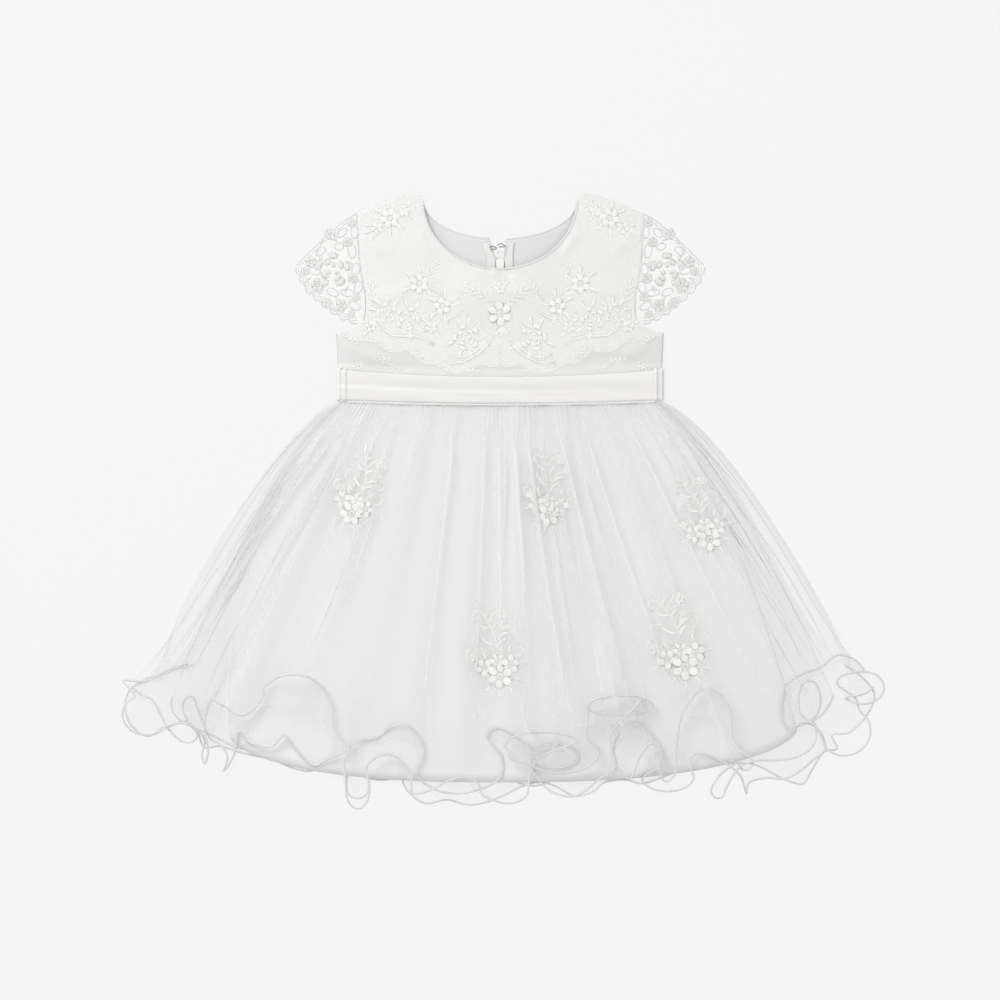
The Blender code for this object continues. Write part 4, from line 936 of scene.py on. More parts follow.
def finish_named(name, build):
    """The material of that name, made the first time it is asked for."""
    return bpy.data.materials.get(name) or build(name)


def satin_finish(name="duchess satin", colour="satin"):
    """Duchess satin: polyester threads floating over many others, so it has a broad soft sheen."""

    def build(name):
        tone = tuple(getattr(bpy.context.scene.tulle_dress, colour))
        made, tree, shader = new_finish(name, tone, 0.38, Sheen_Weight=0.12, Specular_IOR_Level=0.42)
        # The real threads are 0.1 mm apart; drawn 0.5 mm apart, so that they show.
        thread = add_node(
            tree, NOISE, {"Vector": scaled(tree, "Object", (2000, 130, 400)), **FINE_GRAIN}
        ).outputs["Fac"]
        weft = add_node(
            tree, NOISE, {"Vector": scaled(tree, "Object", (90, 2200, 400)), **GRAIN}
        ).outputs["Fac"]
        soft = add_node(
            tree, NOISE, {"Vector": scaled(tree, "Object", (45, 60, 40)), **FINE_GRAIN}
        ).outputs["Fac"]
        rough = add_node(tree, SPAN, {"Value": soft, "To Min": 0.30, "To Max": 0.48})
        tree.links.new(rough.outputs["Result"], shader.inputs["Roughness"])
        shade = tuple(c * 0.955 for c in tone)
        colours = {0: thread, 6: (*shade, 1.0), 7: (*tone, 1.0)}
        colour_mix = add_node(tree, MIX, colours, data_type="RGBA")
        tree.links.new(colour_mix.outputs[2], shader.inputs["Base Color"])
        both = add_node(tree, MATHS, {0: thread, 1: weft}, operation="ADD").outputs[0]
        bump = add_node(tree, BUMP, {"Height": both, "Strength": 0.25, "Distance": 0.0001})
        tree.links.new(bump.outputs["Normal"], shader.inputs["Normal"])
        return made

    return finish_named(name, build)


def tulle_finish():
    """Nylon tulle: a fine soft net, seen as a haze that is denser where it is gathered or folded.

    With c the share that one flat layer hides, a place where the net lies n times as close hides
    1 - (1 - c)^n.
    """

    def build(name):
        size = bpy.context.scene.tulle_dress
        made, tree, shader = new_finish(name, size.tulle, 0.65, Specular_IOR_Level=0.2)
        # The streaks set the net's density and also paint lighter and darker bands into its colour.
        streak_density_and_shade = add_node(
            tree, NOISE, {"Vector": scaled(tree, "UV", (55, 2.5, 1)), **FINE_GRAIN}
        ).outputs["Fac"]
        # The real mesh is under 1 mm wide; its haze is drawn as a faint grain of that size.
        mesh = add_node(
            tree, NOISE, {"Vector": scaled(tree, "UV", (1100, 1100, 1)), **GRAIN, "Detail": 1.0}
        ).outputs["Fac"]
        total = add_node(tree, MATHS, {0: mesh, 1: 0.15, 2: streak_density_and_shade}, operation="MULTIPLY_ADD")
        inputs = {"Value": total.outputs[0], "From Min": 0.30, "From Max": 0.85}
        inputs |= {"To Min": 1 - size.tulle_cover * 0.88, "To Max": 1 - size.tulle_cover * 1.12}
        clear = add_node(tree, SPAN, inputs).outputs["Result"]
        close = add_node(tree, "ShaderNodeAttribute", attribute_name="close").outputs["Fac"]
        through = add_node(tree, MATHS, {0: clear, 1: close}, operation="POWER").outputs[0]
        alpha = add_node(tree, MATHS, {0: 1.0, 1: through}, operation="SUBTRACT").outputs[0]
        tree.links.new(alpha, shader.inputs["Alpha"])
        # Painted light and shade: over the white lining the net's colour is painted lighter, as if lit from
        # both sides; elsewhere it is painted grey shade, and the streaks paint lighter and darker bands.
        backed = add_node(tree, "ShaderNodeAttribute", attribute_name="backed").outputs["Fac"]
        share = add_node(tree, MATHS, {0: backed, 1: 0.75, 2: -0.30}, operation="MULTIPLY_ADD").outputs[0]
        share = add_node(tree, MATHS, {0: streak_density_and_shade, 1: share}, operation="ADD").outputs[0]
        # Painted shade: the net's colour darkened to this grey.
        shade = tuple(c * 0.76 for c in size.tulle)
        colours = {0: share, 6: (*shade, 1.0), 7: (*size.tulle, 1.0)}
        colour_mix = add_node(tree, MIX, colours, data_type="RGBA")
        tree.links.new(colour_mix.outputs[2], shader.inputs["Base Color"])
        return made

    return finish_named("nylon tulle", build)


def cord_finish():
    """Soft clear nylon line rolled into the net: it lights up more than the net about it."""

    def build(name):
        size = bpy.context.scene.tulle_dress
        made, tree, shader = new_finish(name, size.cord, 0.30, Specular_IOR_Level=0.5)
        rolled = add_node(
            tree, NOISE, {"Vector": scaled(tree, "UV", (300, 1, 1)), **FINE_GRAIN}
        ).outputs["Fac"]
        shade = tuple(c * 0.86 for c in size.cord)
        colours = {0: rolled, 6: (*shade, 1.0), 7: (*size.cord, 1.0)}
        colour_mix = add_node(tree, MIX, colours, data_type="RGBA")
        tree.links.new(colour_mix.outputs[2], shader.inputs["Base Color"])
        return made

    return finish_named("rolled nylon line", build)


def lace_net_finish(name="cotton bobbinet", hidden=(0.50, 0.38)):
    """The lace's net ground: bobbinet of fine cotton, seen as small pale cells.

    hidden is the share that it hides at its threads and in the middle of its cells.
    """

    def build(name):
        size = bpy.context.scene.tulle_dress
        made, tree, shader = new_finish(name, size.lace, 0.75, Specular_IOR_Level=0.2)
        inputs = {"Vector": scaled(tree, "UV", (850, 850, 1)), "Scale": 1.0, "Randomness": 0.7}
        cells = add_node(
            tree, "ShaderNodeTexVoronoi", inputs, feature="DISTANCE_TO_EDGE", voronoi_dimensions="2D"
        )
        inputs = {"Value": cells.outputs["Distance"], "From Min": 0.02, "From Max": 0.28}
        inputs |= {"To Min": hidden[0], "To Max": hidden[1]}
        alpha = add_node(tree, SPAN, inputs)
        tree.links.new(alpha.outputs["Result"], shader.inputs["Alpha"])
        return made

    return finish_named(name, build)


def thread_finish(name="rayon satin stitch", colour="thread"):
    """Rayon thread laid side by side across each shape: a silky gloss with fine ribs."""

    def build(name):
        tone = getattr(bpy.context.scene.tulle_dress, colour)
        made, tree, shader = new_finish(name, tone, 0.42, Sheen_Weight=0.2, Specular_IOR_Level=0.4)
        # Stitches 0.5 mm apart across the shape.
        wave = add_node(tree, WAVE, {"Vector": scaled(tree, "UV", (320, 1, 1)), "Scale": 1.0})
        wave.inputs["Distortion"].default_value = 0.6
        shade = tuple(c * 0.88 for c in tone)
        colours = {0: wave.outputs["Fac"], 6: (*shade, 1.0), 7: (*tone, 1.0)}
        colour_mix = add_node(tree, MIX, colours, data_type="RGBA")
        tree.links.new(colour_mix.outputs[2], shader.inputs["Base Color"])
        bump = add_node(
            tree, BUMP, {"Height": wave.outputs["Fac"], "Strength": 0.5, "Distance": 0.00015}
        )
        tree.links.new(bump.outputs["Normal"], shader.inputs["Normal"])
        return made

    return finish_named(name, build)


def tape_finish():
    """Woven polyester zip tape: a close herringbone, matt."""

    def build(name):
        made, tree, shader = new_finish(name, linear("#E4E3E0"), 0.8, Specular_IOR_Level=0.2)
        wave = add_node(tree, WAVE, {"Vector": scaled(tree, "Object", (500, 500, 1)), "Scale": 1.0})
        wave.bands_direction = "DIAGONAL"
        inputs = {"Height": wave.outputs["Fac"], "Strength": 0.4, "Distance": 0.0001}
        bump = add_node(tree, BUMP, inputs)
        tree.links.new(bump.outputs["Normal"], shader.inputs["Normal"])
        return made

    return finish_named("woven polyester tape", build)


def enamel_finish():
    """Die-cast zinc under white enamel: glossy, with a slight unevenness where the paint pooled."""

    def build(name):
        made, tree, shader = new_finish(name, linear("#F1F0EE"), 0.28, Coat_Weight=0.4)
        pooled = add_node(
            tree, NOISE, {"Vector": scaled(tree, "Object", (600, 600, 600)), **GRAIN}
        ).outputs["Fac"]
        rough = add_node(tree, SPAN, {"Value": pooled, "To Min": 0.20, "To Max": 0.36})
        tree.links.new(rough.outputs["Result"], shader.inputs["Roughness"])
        bump = add_node(tree, BUMP, {"Height": pooled, "Strength": 0.2, "Distance": 0.0001})
        tree.links.new(bump.outputs["Normal"], shader.inputs["Normal"])
        return made

    return finish_named("white enamelled zinc", build)


def nickel_finish():
    """Nickel-plated brass wire, bent into a hook and an eye: bright but grey where it mirrors the cloth."""

    def build(name):
        made, tree, shader = new_finish(name, linear("#8E8C88"), 0.3, Metallic=1.0)
        worn = add_node(
            tree, NOISE, {"Vector": scaled(tree, "Object", (900, 900, 900)), **GRAIN}
        ).outputs["Fac"]
        rough = add_node(tree, SPAN, {"Value": worn, "To Min": 0.25, "To Max": 0.45})
        tree.links.new(rough.outputs["Result"], shader.inputs["Roughness"])
        return made

    return finish_named("nickel-plated wire", build)


def paper_finish():
    """A smooth white paper floor, lit so evenly that it hardly takes a shadow."""

    def build(name):
        size = bpy.context.scene.tulle_dress
        made, tree, shader = new_finish(name, (0.07, 0.07, 0.07), 0.9, Specular_IOR_Level=0.0)
        shader.inputs["Emission Color"].default_value = (1.0, 1.0, 1.0, 1.0)
        shader.inputs["Emission Strength"].default_value = size.floor_glow
        fibre = add_node(
            tree, NOISE, {"Vector": scaled(tree, "Object", (400, 400, 1)), **GRAIN}
        ).outputs["Fac"]
        bump = add_node(tree, BUMP, {"Height": fibre, "Strength": 0.05, "Distance": 0.0001})
        tree.links.new(bump.outputs["Normal"], shader.inputs["Normal"])
        return made

    return finish_named("white backdrop paper", build)


# Sizes and colours that a user would change


class TulleDressSizes(PropertyGroup):
    """Sizes and colours of the dress."""

    gathers: IntProperty(name="Waist gathers", description="Ripples across the waist of a layer", default=74)
    gather_height: FloatProperty(
        name="Gather height",
        description="How far the waist's gathers stand up",
        default=0.7 * MM,
        subtype="DISTANCE",
    )
    cord: FloatVectorProperty(
        name="Hem line", description="Colour of the line in the hems",
        default=linear("#E6E6E6"), subtype="COLOR"
    )
    cord_radius: FloatProperty(
        name="Hem line radius", description="Half its thickness", default=0.85 * MM, subtype="DISTANCE"
    )
    satin: FloatVectorProperty(
        name="Satin", description="Colour of the satin", default=linear("#ECEBEA"), subtype="COLOR"
    )
    tulle: FloatVectorProperty(
        name="Tulle", description="Colour of the net", default=linear("#F5F5F5"), subtype="COLOR"
    )
    tulle_cover: FloatProperty(
        name="Tulle cover", description="Share of what lies behind it that one flat layer hides", default=0.15
    )
    lining: FloatVectorProperty(
        name="Lining", description="Colour of the lining", default=linear("#F1F1F1"), subtype="COLOR"
    )
    # Painted shade: the bodice's satin is a darker copy of the sash's satin.
    bodice: FloatVectorProperty(
        name="Bodice", description="Colour of the bodice's satin", default=linear("#E1E1E0"), subtype="COLOR"
    )
    sleeve_thread: FloatVectorProperty(
        name="Sleeve thread", description="Colour of the sleeves' lace",
        default=linear("#E8E8E7"), subtype="COLOR"
    )
    # Painted shade: the inside of the back, seen in the open neck, is a darker copy of the satin.
    facing_painted_shade: FloatVectorProperty(
        name="Bodice lining", description="Colour inside the bodice",
        default=linear("#E1E0E0"), subtype="COLOR"
    )
    lace: FloatVectorProperty(
        name="Lace", description="Colour of the lace's net", default=linear("#F6F5F3"), subtype="COLOR"
    )
    thread: FloatVectorProperty(
        name="Thread", description="Colour of the embroidery", default=linear("#F7F6F3"), subtype="COLOR"
    )
    floor_glow: FloatProperty(name="Floor glow", description="Light that the floor gives", default=0.845)


# Pieces


class DRESS_OT_lining(Operator):
    """Make the satin lining of the skirt, front and back"""

    bl_idname = "dress.lining"
    bl_label = "Lining"

    def execute(self, context):
        layer = Layer(LINING)
        s, v = np.meshgrid(np.linspace(0, 1, 200), np.linspace(0, 1, 40))
        x, y = layer.flat(np.interp(s, layer.share, layer.u), v)
        uv = np.stack([s * 560, v * 300], axis=-1)
        fade = smoothstep(0.05, 0.3, v) * (1 - (2 * s - 1) ** 6)
        wander = s + 0.012 * np.sin(7 * s + 3 * v)
        fold = LINING_FOLD * fade * (1 - np.cos(2 * math.pi * LINING_FOLDS * wander)) / 2
        base = 3 * (CLOTH + SEAM) + CLOTH - 1.6 * smoothstep(0.8, 1.0, v)
        fade = fade * (1 - 0.7 * smoothstep(0.85, 1.0, v))
        front = np.stack([x, y, base + fold + 0.4 * fade * np.sin(61 * wander + 4 * v)], axis=-1)
        satin = satin_finish("lining satin", "lining")
        made = add_sheet("lining_front_cloth", front, satin, ["lining_front"], uv, 0.5)
        back = np.stack([x, y, 2 * (CLOTH + SEAM) + 0.15 * fade * np.sin(40 * wander)], axis=-1)
        under = add_sheet(
            "lining_back_cloth", back[:, ::-1], satin, ["lining_back"], uv[:, ::-1], 0.5
        )
        return {"FINISHED"}


class DRESS_OT_back_tulle(Operator):
    """Make both layers of tulle on the back of the skirt"""

    bl_idname = "dress.back_tulle"
    bl_label = "Back tulle"

    def execute(self, context):
        size = context.scene.tulle_dress
        net = tulle_finish()
        for name, sizes, low, folds, node, cut in (
            ("tulle_outer_back_net", OUTER, 0.9, fine_folds(40, 3, 5.0), "tulle_outer_back", 0.59),
            ("tulle_inner_back_net", INNER, 2.0, fine_folds(30, 5, 5.0), "tulle_inner_back", 0.58),
        ):
            layer = Layer(sizes)

            def height(u, s, v, low=low):
                return low + gathers(u, v, size.gathers, 0.3)

            if sizes is OUTER:
                hem = Hem(layer, BACK_CORD, lambda s: 0.9 + 0 * s, top=6.0)
            else:
                wave = np.linspace(0, 1, 150)
                x, y = layer.flat(np.interp(wave, layer.share, layer.u), np.ones(150))
                swing = 5 * np.sin(26 * wave) + 3 * np.sin(61 * wave)
                middle = np.array([0.0, -100.0])
                out = np.column_stack([x, y]) - middle
                out /= np.linalg.norm(out, axis=1)[:, None]
                hem = Hem(
                    layer, np.column_stack([x, y]) - 4 * out + out * swing[:, None], lambda s: 2.0 + 0 * s,
                    top=6,
                )
            folds = [(*row[:5], 0.1 * row[5]) for row in folds]
            sheet, uv, marks = hemmed_sheet(layer, hem, folds, height, 360, 36, 0.80)
            marks = {mark: values[:, ::-1] for mark, values in marks.items()}
            made = add_sheet(name, sheet[:, ::-1], net, [node], uv[:, ::-1], marks=marks)
            cord = self.cord(name, hem, size)
        return {"FINISHED"}

    def cord(self, name, hem, size):
        """The line rolled into the hem."""
        points, faces, uv = tubes(hem.path[None], size.cord_radius / MM * 0.9, 8)
        return add_piece(name + "_cord", points, faces, cord_finish(), uv=uv)


class DRESS_OT_front_tulle(Operator):
    """Make both layers of tulle on the front of the skirt, with the lines in their curly hems"""

    bl_idname = "dress.front_tulle"
    bl_label = "Front tulle"

    def execute(self, context):
        size = context.scene.tulle_dress
        net = tulle_finish()
        for name, sizes, table, cord, base, edge_z, folds, columns, node, cut in (
            (
                "tulle_inner_front_net", INNER, INNER_FLUTES, INNER_CORD, inner_base, 3.6,
                fine_folds(10, 11, 6.0), 560, "tulle_inner_front", 0.60,
            ),
            (
                "tulle_outer_front_net", OUTER, OUTER_FLUTES, OUTER_CORD, outer_base, 2.3,
                OUTER_FOLDS + fine_folds(9, 23, 5.0), 800, "tulle_outer_front", 0.73,
            ),
        ):
            layer = Layer(sizes)

            def height(u, s, v, table=table, base=base, edge_z=edge_z):
                z = tulle_height(table, base, edge_z, u, s, v)
                return z + gathers(u, v, size.gathers, size.gather_height / MM)

            def rim(s, layer=layer, height=height, edge_z=edge_z):
                u = np.interp(s, layer.share, layer.u)
                return edge_z + 0.6 * (height(u, s, np.ones(len(s))) - edge_z)

            hem = Hem(layer, cord, rim)
            sheet, uv, marks = hemmed_sheet(layer, hem, folds, height, columns, 66, 0.74)
            made = add_sheet(name, sheet, net, [node], uv, marks=marks)
            points, faces, line_uv = tubes(hem.path[None], size.cord_radius / MM, 8)
            line = add_piece(name + "_cord", points, faces, cord_finish(), uv=line_uv)
        # The gathered edge of the net, sewn over and turned up against the sash.
        x = np.linspace(-HALF_WAIST + 1.5, HALF_WAIST - 1.5, 600)
        ripple = gathers(x / HALF_WAIST, 0 * x, 1.6 * size.gathers, 1.0)
        path = np.column_stack([x, waist_y(x) - 0.1, sash_point(x, 0 * x)[:, 2] - 0.5 + 0.3 * ripple])
        points, faces, uv = tubes(path[None], 0.75 + 0.25 * ripple[None], 8)
        add_piece("waist_seam_edge", points, faces, thread_finish(), uv=uv)
        return {"FINISHED"}


class DRESS_OT_sprays(Operator):
    """Make the five floral sprays sewn to the tulle"""

    bl_idname = "dress.sprays"
    bl_label = "Sprays"

    def execute(self, context):
        layer = Layer(OUTER)

        def over_tulle(x, y):
            s, v = layer.found(x, y)
            u = np.interp(s, layer.share, layer.u)
            return tulle_height(OUTER_FLUTES, outer_base, 2.3, u, s, v) + 1.5

        for number, (x, y, degrees, length, lower) in enumerate(SPRAYS, 1):
            work = spray_stitches(length)
            turn = math.radians(degrees)

            def placed(path, x=x, y=y, turn=turn):
                a, b = path[:, 0], path[:, 1]
                return np.column_stack(
                    [x + a * math.cos(turn) + b * math.sin(turn), y - a * math.sin(turn) + b * math.cos(turn)]
                )

            work.pads = [(placed(p), *rest) for p, *rest in work.pads]
            work.cords = [(placed(p), r) for p, r in work.cords]
            work.loops = [(placed(p), r) for p, r in work.loops]
            points, faces, uv = work.built(lambda x, y, lower=lower: over_tulle(x, y) - lower, 0.45)
            made = add_piece(
                f"spray_{number}_stitches", points, faces, thread_finish(),
                [f"spray_{number}"], uv
            )
            made.visible_shadow = False
        return {"FINISHED"}


def spray_stitches(length):
    """A spray: a cluster of flowers at its foot, and a stem with narrow leaves, buds and curls above."""
    k = length / 60.0
    work = Stitches()
    for x, y, radius, petals, turn in (
        (1.0, -20.0, 9.5, 6, 12), (-9.5, -12.5, 6.6, 5, 40), (10.0, -12.5, 6.8, 5, 5),
        (0.5, -8.5, 5.2, 5, 30), (-15.0, -4.0, 3.4, 5, 0), (8.0, 24.0, 3.2, 5, 20),
    ):
        work.flower(x * k, y * k, radius * k, petals, turn)
    for x, y, size, degrees in (
        (-7.0, -25.0, 7.0, 215.0), (-2.0, -29.0, 6.0, 255.0), (5.0, -28.0, 6.5, 295.0),
        (10.0, -23.0, 7.0, 330.0), (-15.0, -14.0, 6.0, 190.0), (16.0, -13.0, 6.0, 350.0),
        (1.0, -1.0, 12.0, 38.0), (2.0, 5.0, 12.0, 28.0), (0.5, 3.0, 11.0, 140.0),
        (0.0, 12.0, 9.0, 50.0), (-2.0, 16.0, 9.0, 150.0), (-4.0, 22.0, 7.0, 55.0),
        (-6.0, 29.0, 8.0, 100.0), (10.0, -5.0, 8.0, 65.0), (-6.0, -6.0, 8.0, 110.0),
    ):
        work.leaf(x * k, y * k, size * k, degrees, half=0.11 * size * k)
    for points in (
        [(0, -5), (2, 4), (0, 14), (-4, 23), (-6, 30)],
        [(-4, -4), (-10, 1), (-15, 7), (-14, 12), (-9, 11), (-10, 7)],
        [(3, 9), (9, 15), (15, 14), (17, 8), (14, 5)],
        [(-2, 18), (2, 25), (8, 28), (12, 25), (10, 21)],
        [(-5, 24), (-10, 28), (-13, 25), (-11, 21)],
        [(-16, -8), (-20, -4), (-20, 1), (-16, 2)],
        [(14, -8), (19, -5), (19, 1), (15, 2)],
    ):
        work.scroll([(a * k, b * k) for a, b in points], 0.55 * k)
    return work


class DRESS_OT_bodice(Operator):
    """Make the satin bodice: its front, both backs and the bound neck"""

    bl_idname = "dress.bodice"
    bl_label = "Bodice"

    def execute(self, context):
        # Painted shade: the bodice uses a darker copy of the sash's satin.
        satin = satin_finish("bodice satin", "bodice")
        front = with_height(both_halves(ruled_half(FRONT_NECK_DEPTH, waist_y, 84, 84)), front_surface)
        made = add_sheet("bodice_front_satin", front, satin, ["bodice_front"], wall=CLOTH)
        for word, side in (("left", -1), ("right", 1)):
            half = ruled_half(BACK_NECK_DEPTH, waist_y, 64, 72)
            half[..., 0] += zip_edge(side, half[..., 1]) * np.clip(1 - half[..., 0] / 30, 0, 1) ** 2
            half = with_height(half * (side, 1), back_low)
            if side > 0:
                half = half[:, ::-1]
            name = f"bodice_back_{word}"
            back = add_sheet(name + "_satin", half, satin, [name], wall=CLOTH)
            # Painted shade: the back's inner face gets a darker satin, standing in for the shade inside the
            # neck.
            back.data.materials.append(satin_finish("bodice lining", "facing_painted_shade"))
            back.modifiers["wall"].material_offset = 1
        t = np.linspace(0, 0.38, 90)
        rims = [("front", FRONT_NECK_DEPTH, front_surface, 0.1), ("back", BACK_NECK_DEPTH, back_low, 0.7)]
        for word, depth, surface, lift in rims:
            half = bodice_rim(depth, t)
            line = np.vstack([(half * (-1, 1))[:0:-1], half])
            if word == "back":
                neck_y = NECK_TOP_Y - BACK_NECK_DEPTH
                pieces = [line[line[:, 0] < -zip_edge(-1, neck_y)], line[line[:, 0] > zip_edge(1, neck_y)]]
            else:
                pieces = [line]
            parts = []
            for piece in pieces:
                path = resampled(piece, 160)
                path = np.column_stack([path, surface(path[:, 0], path[:, 1]) + lift])
                parts.append(tubes(path[None], 0.9, 8, 0.75))
            points, faces, uv = joined(parts)
            add_piece(f"neck_binding_{word}", points, faces, satin, uv=uv)
        return {"FINISHED"}


class DRESS_OT_yoke_lace(Operator):
    """Make the embroidered lace yoke on the bodice's front"""

    bl_idname = "dress.yoke_lace"
    bl_label = "Yoke lace"

    def execute(self, context):
        half = ruled_half(FRONT_NECK_DEPTH, lace_edge_y, 120, 60)
        sheet = with_height(both_halves(half), lace_surface)
        made = add_sheet("yoke_net", sheet, lace_net_finish(), ["bodice_lace"])
        made.visible_shadow = False
        points, faces, uv = yoke_stitches().built(lace_surface, 0.42)
        work = add_piece("yoke_stitches", points, faces, thread_finish(), uv=uv)
        work.visible_shadow = False
        return {"FINISHED"}


def yoke_stitches():
    """The yoke's flowers, roses, leaves and scrolls, the same on both sides, with a flower in the middle."""
    work = Stitches()
    for k, (x, y, radius, petals) in enumerate(YOKE_FLOWERS):
        work.flower(x, y, radius, petals, 25 * k)
    for k, rose in enumerate(YOKE_ROSES):
        work.rose(*rose, 40 * k)
    for points in YOKE_SCROLLS:
        work.scroll(points, 1.0)
    for x, y, start, length, directions in YOKE_LEAVES:
        for degrees in directions:
            a, b = turned(start, 0, degrees)
            work.leaf(x + a, y + b, length, degrees)
    for sprig in YOKE_SPRIGS:
        work.sprig(*sprig)
    x = np.linspace(0.2, 127.6, 130)
    work.cord(np.column_stack([x, lace_edge_y(x) + 0.6]), 0.5, 200)
    work.cord(np.column_stack([x, lace_edge_y(x) + 2.2]), 0.3, 200)
    work.mirrored()
    work.flower(0.0, 149.0, 10.0, 6, 30)
    work.flower(0.0, 169.0, 4.4, 5, 18)
    for degrees in (30, 90, 150):
        a, b = turned(4.0, 0, degrees)
        work.leaf(a, 169.0 + b, 5.5, degrees)
    for degrees in (225, 270, 315):
        work.leaf(0.0, 138.0, 8.0, degrees)
    work.sprig(0.0, 113.0, 9.0, 90.0)
    return work


class DRESS_OT_sleeves(Operator):
    """Make both cap sleeves, each a front and a back layer of open lace"""

    bl_idname = "dress.sleeves"
    bl_label = "Cap sleeves"

    def execute(self, context):
        flat = sleeve_grid()
        for word, side in (("left", -1), ("right", 1)):
            for face in ("back", "front"):
                def surface(x, y, face=face):
                    return sleeve_surface(x, y) if face == "front" else 0.9 + 0 * x

                sheet = with_height(flat * (side, 1), surface)
                if (face == "front") != (side > 0):
                    sheet = sheet[:, ::-1]
                name = f"sleeve_{word}_{face}"
                net = add_sheet(
                    name + "_net", sheet, lace_net_finish("open cotton bobbinet", (0.30, 0.14)),
                    [name],
                    keep=lambda points, side=side: clear_of_gaps(points, side),
                )
                points, faces, uv = sleeve_stitches(side).built(surface, 1.0 if face == "front" else 0.5)
                thread = thread_finish("cotton lace thread", "sleeve_thread")
                work = add_piece(name + "_stitches", points, faces, thread, uv=uv)
                work.visible_shadow = False
        return {"FINISHED"}


def sleeve_stitches(side):
    """A sleeve's embroidery: a rose in the middle, flowers and leaves about it, corded gaps and edges."""
    work = Stitches()
    work.rose(134.0, 184.0, 13.5, 20)
    for x, y, radius, petals, turn in (
        (146.0, 172.0, 5.5, 5, 10), (127.0, 155.5, 4.8, 5, 40), (136.0, 213.0, 4.5, 5, 0),
        (151.5, 190.5, 4.6, 5, 30), (122.0, 206.5, 4.0, 5, 15), (118.0, 177.5, 4.0, 5, 50),
        (138.5, 158.0, 3.8, 5, 20), (119.0, 222.0, 3.4, 5, 35), (115.0, 162.5, 3.2, 5, 0),
        (156.0, 183.0, 3.2, 5, 12), (119.0, 149.0, 3.0, 5, 44),
    ):
        work.flower(x, y, radius, petals, turn)
    for x, y, half_length, half_width, degrees in SLEEVE_GAPS:
        ring = [turned((half_length + 0.5) * c, (half_width + 0.5) * s, degrees) for c, s in CIRCLE]
        work.cord([(x + a, y + b) for a, b in ring], 0.55, 22, closed=True)
    for x, y, length, degrees in (
        (143, 191, 7, 60), (146, 205, 7, 130), (130, 207, 7, 20), (124, 188, 7, 170), (137, 176, 7, 300),
        (133, 163, 7, 210), (151, 178, 6, 320), (122, 160, 6, 160), (142, 165, 6, 20), (120, 192, 6, 250),
        (148, 197, 6, 100), (131, 150, 6, 30), (112, 206, 7, 80), (114, 193, 6, 90), (121, 171, 6, 300),
    ):
        work.leaf(x, y, length, degrees)
    fold, hem = sleeve_edge()
    work.cord(fold, 0.5, 60)
    work.cord(fold[3:-2] + (-0.8, -2.2), 0.35, 60)
    for inward, radius in ((0.0, 0.65), (2.4, 0.4), (4.6, 0.35)):
        middle = np.array([113.0, 188.0])
        back = (middle - hem) / np.linalg.norm(middle - hem, axis=1)[:, None]
        line = hem + inward * back
        work.cord(line[4:-4], radius, 200)
    seam = smooth_path(ARMHOLE, 60) + (0.8, 0.0)
    work.cord(seam, 0.6, 80)
    flip = np.array([side, 1.0])
    work.pads = [(p * flip, *rest) for p, *rest in work.pads]
    work.cords = [(p * flip, r) for p, r in work.cords]
    work.loops = [(p * flip, r) for p, r in work.loops]
    return work


class DRESS_OT_sash(Operator):
    """Make the satin sash with its lengthways folds, its back and its thread carriers"""

    bl_idname = "dress.sash"
    bl_label = "Sash"

    def execute(self, context):
        satin = satin_finish()
        turn = 0.985 * math.pi / 2
        across = SASH_HALF * np.sin(np.linspace(-turn, turn, 240)) / math.sin(turn)
        x, w = np.meshgrid(across, np.linspace(1, 0, 48))
        made = add_sheet("sash_front_satin", sash_point(x, w), satin, ["sash_front"], wall=0.7)
        x, w = np.meshgrid(across[::3], np.linspace(1, 0, 14))
        flat = sash_point(x, w)
        flat[..., 2] = 0.15 + 0.1 * np.sin(7 * w + 0.02 * x)
        back = add_sheet("sash_back_satin", flat[:, ::-1], satin, ["sash_back"], wall=0.7)
        for word, side in (("left", -1), ("right", 1)):
            w = np.linspace(-0.02, 1.05, 30)
            parts = []
            for at, half in ((128.6, 1.25), (124.4, 1.5)):
                path = sash_point(np.full(30, side * at), w) + (0, 0, 0.5)
                parts.append(tubes(path[None], half, 10, 0.35))
            points, faces, uv = joined(parts)
            name = f"sash_carrier_{word}"
            add_piece(name + "_loops", points, faces, satin, [name], uv)
        return {"FINISHED"}


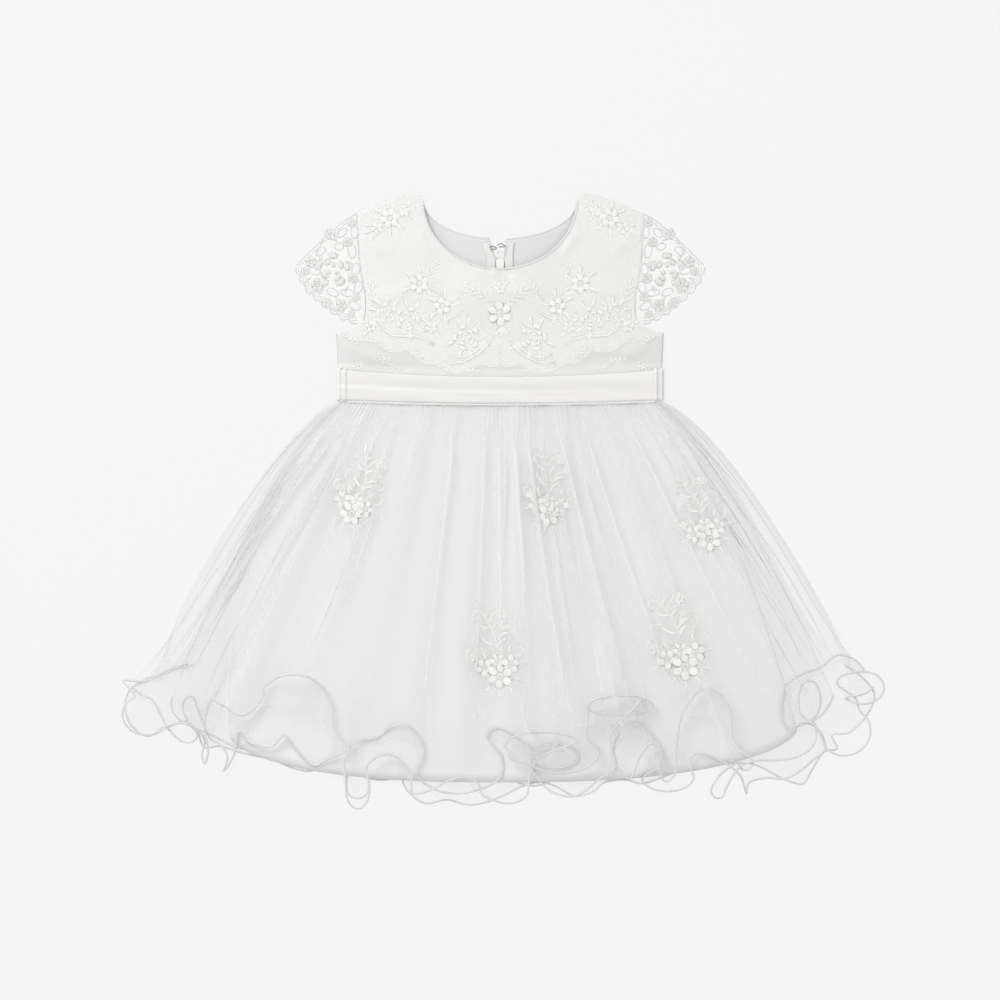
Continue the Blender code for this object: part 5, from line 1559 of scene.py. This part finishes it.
class DRESS_OT_zip(Operator):
    """Make the zip's tapes and coils and the hook and eye, and finish its slider and pull tab"""

    bl_idname = "dress.zip"
    bl_label = "Zip"

    def execute(self, context):
        for word, side in (("left", -1), ("right", 1)):
            y, w = np.meshgrid(np.linspace(ZIP_TOP_Y, ZIP_BOTTOM_Y, 120), np.linspace(0, 1, 8), indexing="ij")
            edge = zip_edge(side, y) + 0.3
            edge = np.maximum(edge, 3.6 * (1 - smoothstep(5.4, 7.5, np.abs(y - SLIDER_Y))))
            x = side * (edge + 7.0 * w)
            sheet = np.stack([x, y, back_low(x, y) + CLOTH + SEAM + 0.5], axis=-1)
            if side < 0:
                sheet = sheet[:, ::-1]
            name = f"zip_tape_{word}"
            tape = add_sheet(name + "_weave", sheet, tape_finish(), [name], wall=0.4)
            turns = np.linspace(0, 1, 1200)
            y = ZIP_BOTTOM_Y + 1 + (ZIP_TOP_Y - ZIP_BOTTOM_Y - 2) * turns
            keep = np.abs(y - SLIDER_Y) > 6.5
            coil = 2 * math.pi * 80 * turns
            x = side * (zip_edge(side, y) + 0.9 + 0.75 * np.cos(coil))
            path = np.column_stack([x, y, back_low(x, y) + CLOTH + SEAM + 1.0 + 0.4 * np.sin(coil)])
            below, above = path[keep & (y < SLIDER_Y)], path[keep & (y > SLIDER_Y)]
            points, faces, uv = joined([tubes(below[None], 0.28, 5), tubes(above[None], 0.28, 5)])
            add_piece(f"zip_coil_{word}", points, faces, thread_finish("nylon zip coil"), uv=uv)
        hook = [
            (-8.2, 201.6), (-6.6, 203.0), (-4.6, 202.6), (-3.0, 201.8), (-3.4, 200.6), (-5.2, 200.8),
            (-7.4, 200.4),
        ]
        eye = [
            (-2.0, 203.2), (-0.6, 204.6), (1.6, 204.8), (3.4, 203.6), (3.0, 202.4), (0.8, 202.6),
            (-1.0, 202.2),
        ]
        parts = []
        for line in (hook, eye):
            path = smooth_path(line, 60)
            z = back_low(path[:, 0], path[:, 1]) + CLOTH + SEAM + 1.6
            parts.append(tubes(np.column_stack([path, z])[None], 0.4, 8))
        points, faces, uv = joined(parts)
        add_piece("hook_and_eye", points, faces, nickel_finish(), uv=uv)
        for node in ("zip_slider", "zip_pull_tab"):
            carried = bpy.data.objects[node]
            for slot in carried.material_slots:
                slot.material = enamel_finish()
        return {"FINISHED"}


class DRESS_OT_stage(Operator):
    """Set up the paper floor, the soft light and the camera above the dress"""

    bl_idname = "dress.stage"
    bl_label = "Stage"

    def execute(self, context):
        scene = context.scene
        corners = [(-4000, 4000, -0.4), (4000, 4000, -0.4), (-4000, -4000, -0.4), (4000, -4000, -0.4)]
        floor = add_mesh("paper_floor", corners, [np.array([[0, 2, 3, 1]])], paper_finish())
        world = bpy.data.worlds.new("soft studio")
        world.use_nodes = True
        world.node_tree.nodes["Background"].inputs["Color"].default_value = (1.0, 1.0, 1.0, 1.0)
        world.node_tree.nodes["Background"].inputs["Strength"].default_value = 0.66
        scene.world = world
        for name, place, power, width in (
            ("key", (-1.1, 1.3, 1.6), 27.0, 1.2),
            ("fill", (1.4, -0.6, 1.8), 5.0, 1.6),
        ):
            data = bpy.data.lights.new(name, "AREA")
            data.shape = "SQUARE"
            data.size = width
            data.energy = power
            light = bpy.data.objects.new(name, data)
            light.location = place
            x, y, z = place
            light.rotation_euler = (math.atan2(math.hypot(x, y), z), 0.0, math.atan2(x, -y))
            scene.collection.objects.link(light)
        data = bpy.data.cameras.new("above")
        data.lens = 180.0
        data.sensor_width = 36.0
        data.clip_end = 30.0
        camera = bpy.data.objects.new("above", data)
        camera.location = (0.0, 0.0, 4.005)
        scene.collection.objects.link(camera)
        scene.camera = camera
        scene.view_settings.view_transform = "Standard"
        scene.view_settings.look = "None"
        scene.cycles.transparent_max_bounces = 32
        return {"FINISHED"}


STEPS = [
    DRESS_OT_stage,
    DRESS_OT_lining,
    DRESS_OT_back_tulle,
    DRESS_OT_front_tulle,
    DRESS_OT_sprays,
    DRESS_OT_bodice,
    DRESS_OT_yoke_lace,
    DRESS_OT_sleeves,
    DRESS_OT_sash,
    DRESS_OT_zip,
]


class DRESS_PT_pieces(Panel):
    """The dress's pieces, sizes and colours"""

    bl_idname = "DRESS_PT_pieces"
    bl_label = "Tulle dress"
    bl_space_type = "VIEW_3D"
    bl_region_type = "UI"
    bl_category = "Dress"

    def draw(self, context):
        for step in STEPS:
            self.layout.operator(step.bl_idname)
        for name in TulleDressSizes.__annotations__:
            self.layout.prop(context.scene.tulle_dress, name)


CLASSES = [TulleDressSizes, *STEPS, DRESS_PT_pieces]


def register():
    for made in CLASSES:
        bpy.utils.register_class(made)
    bpy.types.Scene.tulle_dress = PointerProperty(type=TulleDressSizes)


def unregister():
    del bpy.types.Scene.tulle_dress
    for made in reversed(CLASSES):
        bpy.utils.unregister_class(made)


def main():
    """Makes every piece in order."""
    register()
    for step in STEPS:
        group, name = step.bl_idname.split(".")
        getattr(getattr(bpy.ops, group), name)()


if __name__ == "__main__":
    main()
